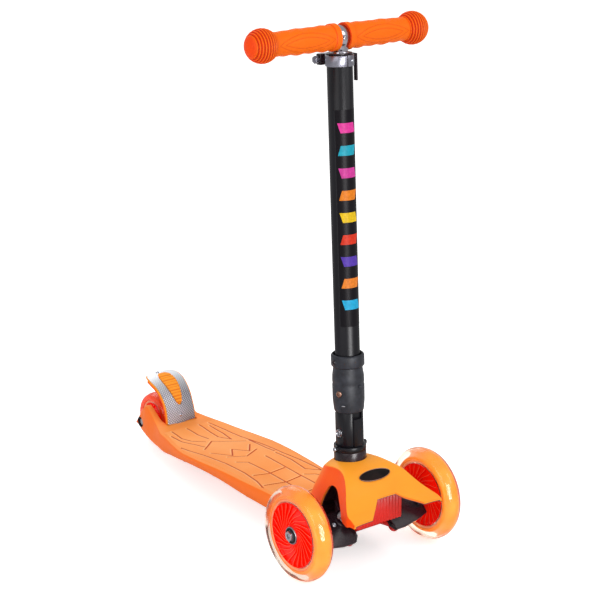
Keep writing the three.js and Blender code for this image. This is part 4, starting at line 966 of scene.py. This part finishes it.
def brake_point(share, x, level):
    """A point of the brake's bent form: along its curve, across it and out from it, in metres."""
    p = [np.array((y * BRAKE_REACH, z * BRAKE_RISE)) for y, z in BRAKE_CURVE]
    s, r = share, 1 - share
    at = r ** 3 * p[0] + 3 * r * r * s * p[1] + 3 * r * s * s * p[2] + s ** 3 * p[3]
    slope = 3 * (r * r * (p[1] - p[0]) + 2 * r * s * (p[2] - p[1]) + s * s * (p[3] - p[2]))
    slope /= np.linalg.norm(slope)
    out = level + BRAKE_CROWN * (1 - (x / BRAKE_HALF) ** 2)
    return BRAKE_PIN + Vector((x, at[0] - slope[1] * out, at[1] + slope[0] * out)) * MM


def brake_strip(name, shares, half, low, high, across=16, grooves=lambda share: 0.0):
    """A strip bent along the brake's curve; its half width, top and groove follow rules of the share."""
    rings, depths = [], []
    for share in shares:
        xs = [half(share) * (2 * j / across - 1) for j in range(across + 1)]
        upper = [brake_point(share, x, high(share)) for x in xs]
        rings.append(upper + [brake_point(share, x, low) for x in reversed(xs)])
        depths += [grooves(share)] * (2 * len(xs))
    return skinned(name, rings, grooves=depths)


def plate_half(share):
    """Half the width of the brake's plate."""
    return BRAKE_HALF * table(BRAKE_WIDTH, share)


def on_tongue(share):
    """How far along the tongue a share of the brake's curve lies, from 0 to 1."""
    return (share - TONGUE_START) / (TONGUE_END - TONGUE_START)


def tongue_half(share):
    """Half the width of the tongue that shows through the plate's window."""
    return TONGUE_HALF * table(TONGUE_WIDTH, on_tongue(share))


def rib_wave(share):
    """How far a share of the tongue lies up its ribs, from 0 in a furrow to 1 on a crest."""
    return 0.5 + 0.5 * math.cos(2 * math.pi * TONGUE_RIBS * on_tongue(share))


class SCOOTER_OT_brake(bpy.types.Operator):
    """Build the brake: a stamped plate over a moulded pad, whose ribbed tongue shows through it"""

    bl_idname = "scooter.brake"
    bl_label = "Brake"

    def execute(self, context):
        dress(["brake_pedal"], "shell", 0.4)
        dress(["brake_pin"], "steel", 0.2)
        plate = brake_strip("brake_face", np.linspace(0.04, 1, 70), plate_half, 0.0, lambda s: BRAKE_PLATE)
        steps = np.linspace(TONGUE_START, TONGUE_END, 40)
        steps = [TONGUE_START - WINDOW_END, *steps, TONGUE_END + WINDOW_END]
        window = brake_strip("window", steps, lambda s: tongue_half(s) + WINDOW_GAP, -3.0, lambda s: 5.0)
        carved(plate, [window])
        uv = plate.data.uv_layers.new(name="plate")
        line = np.array([tuple(brake_point(s, 0, 0))[1:] for s in np.linspace(0, 1, 200)])
        walked = np.concatenate([[0], np.cumsum(np.hypot(*np.diff(line, axis=0).T))])
        for loop in plate.data.loops:
            at = plate.data.vertices[loop.vertex_index].co
            nearest = int(np.argmin(np.hypot(line[:, 0] - at.y, line[:, 1] - at.z)))
            uv.data[loop.index].uv = (at.x, walked[nearest])
        finish_piece(plate, "plate", "brake", ["brake_plate"], angle=40)
        # The groove depth of the tongue masks the painted shade in its furrows
        tongue = brake_strip(
            "tongue_face", np.linspace(TONGUE_START + 0.02, TONGUE_END - 0.01, 150),
            lambda s: tongue_half(s) * 0.95, BRAKE_PLATE - 1.2,
            lambda s: BRAKE_PLATE + TONGUE_RISE + rib_wave(s), 12, lambda s: 0.75 * (1 - rib_wave(s)) ** 2,
        )
        finish_piece(tongue, "tongue", "brake", angle=60)
        for name, side in SIDES:
            shares = np.linspace(0.05, 0.985, 60)
            points = [brake_point(s, side * (plate_half(s) + 0.8), 0.6) for s in shares]
            bead = tube_along(f"brake_bead_{name}", points, 0.95 * MM)
            finish_piece(bead, "tongue", "brake")
        spring = coil("brake_return_spring", "brake", Matrix.Translation(BRAKE_PIN) @ TO_X)
        finish_piece(spring, "steel", "chassis_body", ["brake_spring"])
        for name, share, x in (("low", 0.14, -1.5), ("high", 0.97, -4.5)):
            at, out = brake_point(share, x, BRAKE_PLATE - 0.2), brake_point(share, x, BRAKE_PLATE + 5)
            place = Matrix.Translation(at) @ (out - at).to_track_quat("Z", "Y").to_matrix().to_4x4()
            screw(f"brake_screw_{name}", place, 2.5, 1.1, "aluminium", "brake", socket=0.42)
        return {"FINISHED"}


# ---- column

TUBE_RADIUS = 15.6
STRIP = (138.0, 404.0)
STRIP_ENDS, STRIP_FOOT, MARK_HALF, MARK_SLANT = 22, 14, 6, 7
# Direction and spread round the tube, in degrees, and how far a film stands out, in millimetres
STRIP_LIE, MARK_LIE = (-92, 64, 0.12), (-99, 40, 0.22)


def tube_film(name, low, high, centre, spread, rise, key, slant=0.0):
    """A thin film on the front of the tube between two levels; a slant leans its upper end round."""
    rings = []
    for part in np.linspace(0, 1, 9):
        turn = centre + slant * (2 * part - 1)
        angles = np.radians(np.linspace(turn - spread, turn + spread, 40))
        skins = [(TUBE_RADIUS + rise, angles), (TUBE_RADIUS - 0.2, angles[::-1])]
        rings.append([polar(radius, a, low + (high - low) * part) for radius, line in skins for a in line])
    return finish_piece(skinned(name, rings, COLUMN), key, "column")


class SCOOTER_OT_column(bpy.types.Operator):
    """Dress the folding column: collar, ring, fork, tube with its film, lock sleeve, clamp and lever"""

    bl_idname = "scooter.column"
    bl_label = "Column"

    def execute(self, context):
        dress(["neck_collar"], "nylon", 0.8)
        dress(["clamp_ring", "fold_clevis", "hinge_tongue", "outer_tube"], "powder", 0.4)
        dress(["tube_bush", "clamp_block", "clamp_lever"], "nylon", 0.6)
        dress(["seat_clamp"], "casting", 0.5)
        dress(["clamp_skewer"], "casting")
        dress(["fold_pin"], "steel")
        dress(["lock_sleeve", "sleeve_ring"], "sleeve", 0.5)
        spring = coil("lock_return_spring", "lock", COLUMN)
        finish_piece(spring, "steel", "column", ["lock_spring"])
        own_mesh(spring)
        for name, degrees in (("left", 0), ("right", 180)):
            screw(f"ring_screw_{name}", on_column(-20.0, degrees, 24.0), 2.9, 1.6)
            place = on_column(92.75, degrees, 21.6)
            screw(f"sleeve_screw_{name}", place, 2.8, 1.2, "nylon", "sleeve")
        screw("sleeve_stop_screw", on_column(52.6, -163.7, 19.5), 4.0, 2.2, "bronze", "sleeve")
        block("sleeve_key", (4.2, 4.6, 1.4), on_column(60.8, -82, 19.5), "sleeve", "sleeve")
        block("sleeve_tab", (1.2, 4.4, 1.0), on_column(37.5, -147, 19.6), "steel", "sleeve")
        low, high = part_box("clamp_skewer")
        clamp_level = (COLUMN.inverted() @ ((low + high) / 2)).z / MM
        place = on_column(clamp_level, -94, 16.9)
        block("clamp_seam", (13.0, 0.9, 0.9), place, "nylon", "column", 0.1)
        screw("clamp_screw", on_column(clamp_level, -66, 17.0), 2.5, 1.3, body="column")
        profile = [(3.2, 0), (4.7, 0), (4.7, 0.7), (4.3, 1.0), (3.4, 0.5)]
        for name, side in (("left", MIRROR_X), ("right", Matrix())):
            washer = turned(f"pin_washer_{name}", profile, side @ on_column(0, 180, 17.6), SMALL_ROUND)
            finish_piece(washer, "aluminium", "chassis_body")
        tube_film("tube_strip", *STRIP, *STRIP_LIE, "strip")
        pitch = (STRIP[1] - STRIP[0] - STRIP_ENDS) / len(INKS)
        for i in range(len(INKS)):
            middle = STRIP[0] + STRIP_FOOT + (i + 0.5) * pitch
            span, slant = (middle - MARK_HALF, middle + MARK_HALF), MARK_SLANT if i % 2 else -MARK_SLANT
            tube_film(f"tube_mark_{i}", *span, *MARK_LIE, f"ink_{i}", slant)
        return {"FINISHED"}


# ---- handle

GRIP_ROWS = [
    (0, 1.09), (0.075, 1.09), (0.085, 0.985), (0.22, 1.03), (0.4, 0.99), (0.6, 1.02), (0.86, 0.95),
    (1, 0.95),
]
GRIP_RADIUS, GRIP_BORE, GRIP_MOUTH, FINGER_PITCH, GROOVE_HALF = 15.0, 11.3, 100.3, 19.0, 0.8
# The moulded panels' start and end as shares of the grip, and their spread in degrees
GRIP_PANELS = ((0.1, 0.97, 46), (0.2, 0.88, 24))
# In degrees from the ball's pole: where the grip's body meets it, where its ribs end, and their pitch
BALL_START, RIBS_END, RIB_PITCH = 134, 40, 10.3
# A ring starts at the back of the bar and goes up round it
GRIP_ANGLES = [2 * math.pi * i / 144 for i in range(144)]


def grip_relief(along, angle, length):
    """How deep a place of the grip lies in the outlines of its two moulded panels, from 0 to 1."""
    share = along / length
    turn = math.degrees(angle) % 180
    turn = min(turn, 180 - turn)
    deepest = 0.0
    for start, end, spread in GRIP_PANELS:
        part = 2 * (share - start) / (end - start) - 1
        if abs(part) < 1:
            distance = abs(turn - spread * (1 - part * part)) * math.radians(1) * GRIP_RADIUS
            deepest = max(deepest, 1 - distance / GROOVE_HALF)
    return max(deepest, 0.0)


def grip_radius(along, angle, length):
    """The grip's radius in millimetres, before its grooves, with finger waves under and over it."""
    share = along / length
    swell = 0.6 * max(-math.sin(angle), 0) ** 2 + 0.25 * max(math.sin(angle), 0) ** 2
    wave = swell * math.cos(2 * math.pi * along / FINGER_PITCH) if 0.1 < share < 0.92 else 0
    return GRIP_RADIUS * table(GRIP_ROWS, share) + wave


def grip_form(start, centre, ball, rib_depth):
    """The grip's rings and each point's groove depth, from the mouth to the tip of the ribbed ball."""
    count = len(GRIP_ANGLES)
    body_end = centre + (ball - rib_depth) * math.cos(math.radians(BALL_START))
    stations = [(along, [GRIP_BORE] * count, [0.0] * count) for along in (GRIP_MOUTH, start)]
    for along in np.linspace(start, body_end, 150):
        at = [(along - start, angle, body_end - start) for angle in GRIP_ANGLES]
        depths = [grip_relief(*place) for place in at]
        radii = [grip_radius(*place) - 0.55 * depth for place, depth in zip(at, depths)]
        # These groove depths mask the painted shade in the panels' outlines
        stations.append((along, radii, [0.45 * depth for depth in depths]))
    for degrees in np.linspace(BALL_START - 1, 0, 220):
        rib = 0.0
        if degrees > RIBS_END:
            rib = (0.5 - 0.5 * math.cos(2 * math.pi * (degrees - RIBS_END) / RIB_PITCH)) ** 1.5
        radius, angle = ball - rib_depth * rib, math.radians(degrees)
        radii = [radius * math.sin(angle)] * count
        # These groove depths mask the painted shade in the ball's furrows
        stations.append((centre + radius * math.cos(angle), radii, [0.9 * rib] * count))
    rings = [
        [(-r * MM * math.sin(a), r * MM * math.cos(a), along * MM) for r, a in zip(radii, GRIP_ANGLES)]
        for along, radii, _ in stations
    ]
    return rings, [depth for station in stations for depth in station[2]]


class SCOOTER_OT_handle(bpy.types.Operator):
    """Dress the handle's tubes and T piece, and build the ribbed rubber grips"""

    bl_idname = "scooter.handle"
    bl_label = "Handle"

    def execute(self, context):
        dress(["inner_tube", "bar_stem", "crossbar"], "aluminium", 0.4)
        low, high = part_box("grip_left")
        ball = (high.z - low.z) / 2 / MM
        bar = Vector((0, (low.y + high.y) / 2, (low.z + high.z) / 2))
        rib_depth = context.scene.scooter_sizes.ball_rib_depth / MM
        rings, grooves = grip_form(low.x / MM, high.x / MM - ball, ball, rib_depth)
        stem_bolt = Matrix.Translation((-1.5 * MM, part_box("bar_stem")[0].y + 0.1 * MM, bar.z))
        screw("stem_bolt", stem_bolt @ Matrix.Rotation(math.pi / 2, 4, "X"), 2.8, 1.6, body="handle")
        for name, hand in HANDS:
            place = Matrix.Translation(bar) @ hand @ TO_X
            grip = skinned(f"grip_rubber_{name}", rings, place, grooves)
            finish_piece(grip, "grip", "handle", [f"grip_{name}"], angle=60)
        return {"FINISHED"}


# ---- stage

LAMPS = [
    ("key", (0.9, -2.1, 1.9), (1.3, 1.3), 22), ("fill", (-1.9, -0.6, 1.2), (1.4, 1.4), 14),
    ("back", (0.5, 1.8, 1.6), (1.2, 1.2), 9), ("sheen", (-0.42, -1.5, 0.45), (0.6, 0.9), 32),
]
LAMP_AIM_Y, LAMP_AIM_TOP = -0.19, 0.3
SKY_LIGHT, FLOOR_GLOW, FLOOR_WHITE, WHITE = 0.68, 0.6, (0.86, 0.86, 0.86, 1), (1, 1, 1, 1)
FLOOR_REACH, FLOOR_LEVEL = 9, -0.0004
CAMERA_PLACE = (-1.27674, -1.57665 + FRONT_Y, 0.98421)
CAMERA_AZIMUTH, CAMERA_ELEVATION = math.radians(-36.75), math.radians(17.66)
LENS_MM, SENSOR_MM = 106.15, 36.0


def seen_directly(tree):
    """Whether the camera sees this spot itself or through clear material."""
    path = add(tree, "LightPath").outputs
    return add(tree, "Math", (path["Is Camera Ray"], path["Is Transmission Ray"]), operation="MAXIMUM")


def towards(direction):
    """The rotation of a lamp or a camera that looks in that direction."""
    return direction.to_track_quat("-Z", "Y").to_euler()


class SCOOTER_OT_stage(bpy.types.Operator):
    """Add the pale floor, the soft lamps and the camera at the photograph's angle"""

    bl_idname = "scooter.stage"
    bl_label = "Stage"

    def execute(self, context):
        scene = context.scene
        scene.view_settings.view_transform = "Standard"
        signs = ((-1, -1), (1, -1), (1, 1), (-1, 1))
        corners = [(x * FLOOR_REACH, y * FLOOR_REACH, FLOOR_LEVEL) for x, y in signs]
        floor = new_mesh("floor", corners, [(0, 1, 2, 3)])
        paper = bpy.data.materials.new("Matt paper white")
        tree = emptied(paper)
        diffuse = add(tree, "BsdfDiffuse", {"Color": FLOOR_WHITE})
        glow = add(tree, "Emission", {"Color": WHITE, "Strength": FLOOR_GLOW})
        both = add(tree, "AddShader", (diffuse, glow))
        shown = add(tree, "MixShader", (seen_directly(tree), diffuse, both))
        add(tree, "OutputMaterial", (shown,))
        floor.data.materials.append(paper)
        scene.world = bpy.data.worlds.new("Studio")
        tree = emptied(scene.world)
        strength = add(tree, "MapRange", (seen_directly(tree), 0.0, 1.0, SKY_LIGHT, 1.0))
        sky = add(tree, "Background", {"Color": WHITE, "Strength": strength})
        add(tree, "OutputWorld", (sky,))
        for name, spot, size, power in LAMPS:
            lamp = bpy.data.lights.new(name, "AREA")
            lamp.energy, lamp.shape = power, "RECTANGLE"
            lamp.size, lamp.size_y = size
            holder = linked(name, lamp)
            holder.location = spot
            holder.visible_camera = False
            holder.visible_diffuse = name != "sheen"
            aim = Vector((0, LAMP_AIM_Y, min(spot[2], LAMP_AIM_TOP)))
            holder.rotation_euler = towards(aim - Vector(spot))
        lens = bpy.data.cameras.new("camera")
        lens.lens, lens.sensor_width = LENS_MM, SENSOR_MM
        lens.clip_start, lens.clip_end = 0.01, 50
        camera = linked("camera", lens)
        camera.location = CAMERA_PLACE
        level, rise = math.cos(CAMERA_ELEVATION), math.sin(CAMERA_ELEVATION)
        back = Vector((math.sin(CAMERA_AZIMUTH) * level, -math.cos(CAMERA_AZIMUTH) * level, rise))
        camera.rotation_euler = towards(-back)
        scene.camera = camera
        return {"FINISHED"}


# ---- add-on


def colour(name, description, code):
    """A colour property with an sRGB default."""
    return bpy.props.FloatVectorProperty(
        name=name, description=description, subtype="COLOR", size=3, min=0, max=1, default=linear(code),
    )


def length(name, description, default, low, high):
    """A length property in metres."""
    return bpy.props.FloatProperty(
        name=name, description=description, default=default, min=low, max=high, unit="LENGTH",
    )


class ScooterFinish(bpy.types.PropertyGroup):
    """Colours of the scooter's finishes."""

    # Painted light and shade: a moulding's main colour is for its faces up and forward, its flank colour is
    # painted shade on its sides and underside
    shell: colour("Shell", "Upward and forward faces of the orange mouldings", "#ffa32c")
    shell_painted_shade: colour("Shell flanks", "Sides and underside of the orange mouldings", "#fb5814")
    deck_side_painted_shade: colour("Deck flanks", "Sides of the deck", "#fd7620")
    tread: colour("Tread", "Stippled top of the deck", "#fb9440")
    tread_far: colour("Tread wear", "Paler, worn clouds on the deck's top", "#ffa65c")
    # Painted highlight on the lips beside the tread's grooves, and painted shade in the grooves
    tread_lip_highlight: colour("Tread lip", "Painted highlight on the lips beside the grooves", "#ffc488")
    groove: colour("Groove", "Bottom of the tread's grooves", "#c04408")
    tongue: colour("Tongue", "Ribbed tongue of the brake", "#ffa028")
    # Painted shade in the tongue's furrows
    tongue_furrow_shade: colour("Tongue furrows", "Furrows of the brake's tongue", "#d8640e")
    grip: colour("Grip", "Upward and forward faces of the rubber grips", "#ff7008")
    grip_painted_shade: colour("Grip flanks", "Lower faces and ends of the rubber grips", "#f0440c")
    # Painted shade in the grips' creases
    grip_crease_shade: colour("Grip creases", "Bottom of the grips' grooves", "#c22c04")
    red: colour("Red moulding", "Upward and forward faces of the red mouldings", "#f42c20")
    red_painted_shade: colour("Red flanks", "Sides of the red mouldings", "#d42420")
    core: colour("Wheel core", "Tinted wheel cores", "#ff1a04")
    core_deep: colour("Wheel core depth", "Thicker parts of the wheel cores", "#f00c00")
    # Painted highlight on the crests of the vanes
    core_crest_highlight: colour("Wheel core edges", "Crests of the vanes, where light gathers", "#ff6444")
    band: colour("Tyre band", "Cast band inside the clear tyres", "#ff8420")
    band_far: colour("Tyre band clouds", "Yellower clouds in the cast band", "#ff9634")
    root: colour("Tyre root", "Pale foot of the tyres round the cores", "#ff9c74")
    tyre: colour("Tyre", "Clear polyurethane of the tyres", "#fff0de")


class ScooterSizes(bpy.types.PropertyGroup):
    """Sizes of the scooter's fine forms."""

    tread_rise: length("Tread rise", "How far the tread stands above its grooves", 0.0007, 0.0002, 0.002)
    groove_width: length("Groove width", "Width of the tread's grooves", 0.0018, 0.0005, 0.004)
    vane_thickness: length("Vane thickness", "Thickness of a wheel core's vanes", 0.0011, 0.0006, 0.002)
    ball_rib_depth: length("Rib depth", "Depth of the furrows round the grips' balls", 0.0013, 0.0003, 0.002)


OPERATORS = [
    SCOOTER_OT_stage, SCOOTER_OT_deck, SCOOTER_OT_hood, SCOOTER_OT_steering, SCOOTER_OT_wheels,
    SCOOTER_OT_brake, SCOOTER_OT_column, SCOOTER_OT_handle,
]


class SCOOTER_PT_panel(bpy.types.Panel):
    """Lists the scooter's sizes, colours and builders"""

    bl_label = "Scooter"
    bl_idname = "SCOOTER_PT_panel"
    bl_space_type = "VIEW_3D"
    bl_region_type = "UI"
    bl_category = "Scooter"

    def draw(self, context):
        for group in (context.scene.scooter_sizes, context.scene.scooter_finish):
            for key in group.__annotations__:
                self.layout.prop(group, key)
        for made in OPERATORS:
            self.layout.operator(made.bl_idname)


CLASSES = [ScooterFinish, ScooterSizes, *OPERATORS, SCOOTER_PT_panel]


def register():
    """Registers the classes and the scene's property groups."""
    for made in CLASSES:
        bpy.utils.register_class(made)
    bpy.types.Scene.scooter_finish = bpy.props.PointerProperty(type=ScooterFinish)
    bpy.types.Scene.scooter_sizes = bpy.props.PointerProperty(type=ScooterSizes)


def unregister():
    """Removes the property groups and the classes."""
    del bpy.types.Scene.scooter_finish
    del bpy.types.Scene.scooter_sizes
    for made in reversed(CLASSES):
        bpy.utils.unregister_class(made)


def main():
    """Builds everything in order."""
    register()
    for made in OPERATORS:
        group, name = made.bl_idname.split(".")
        getattr(getattr(bpy.ops, group), name)()
    bpy.context.view_layer.update()


if __name__ == "__main__":
    main()
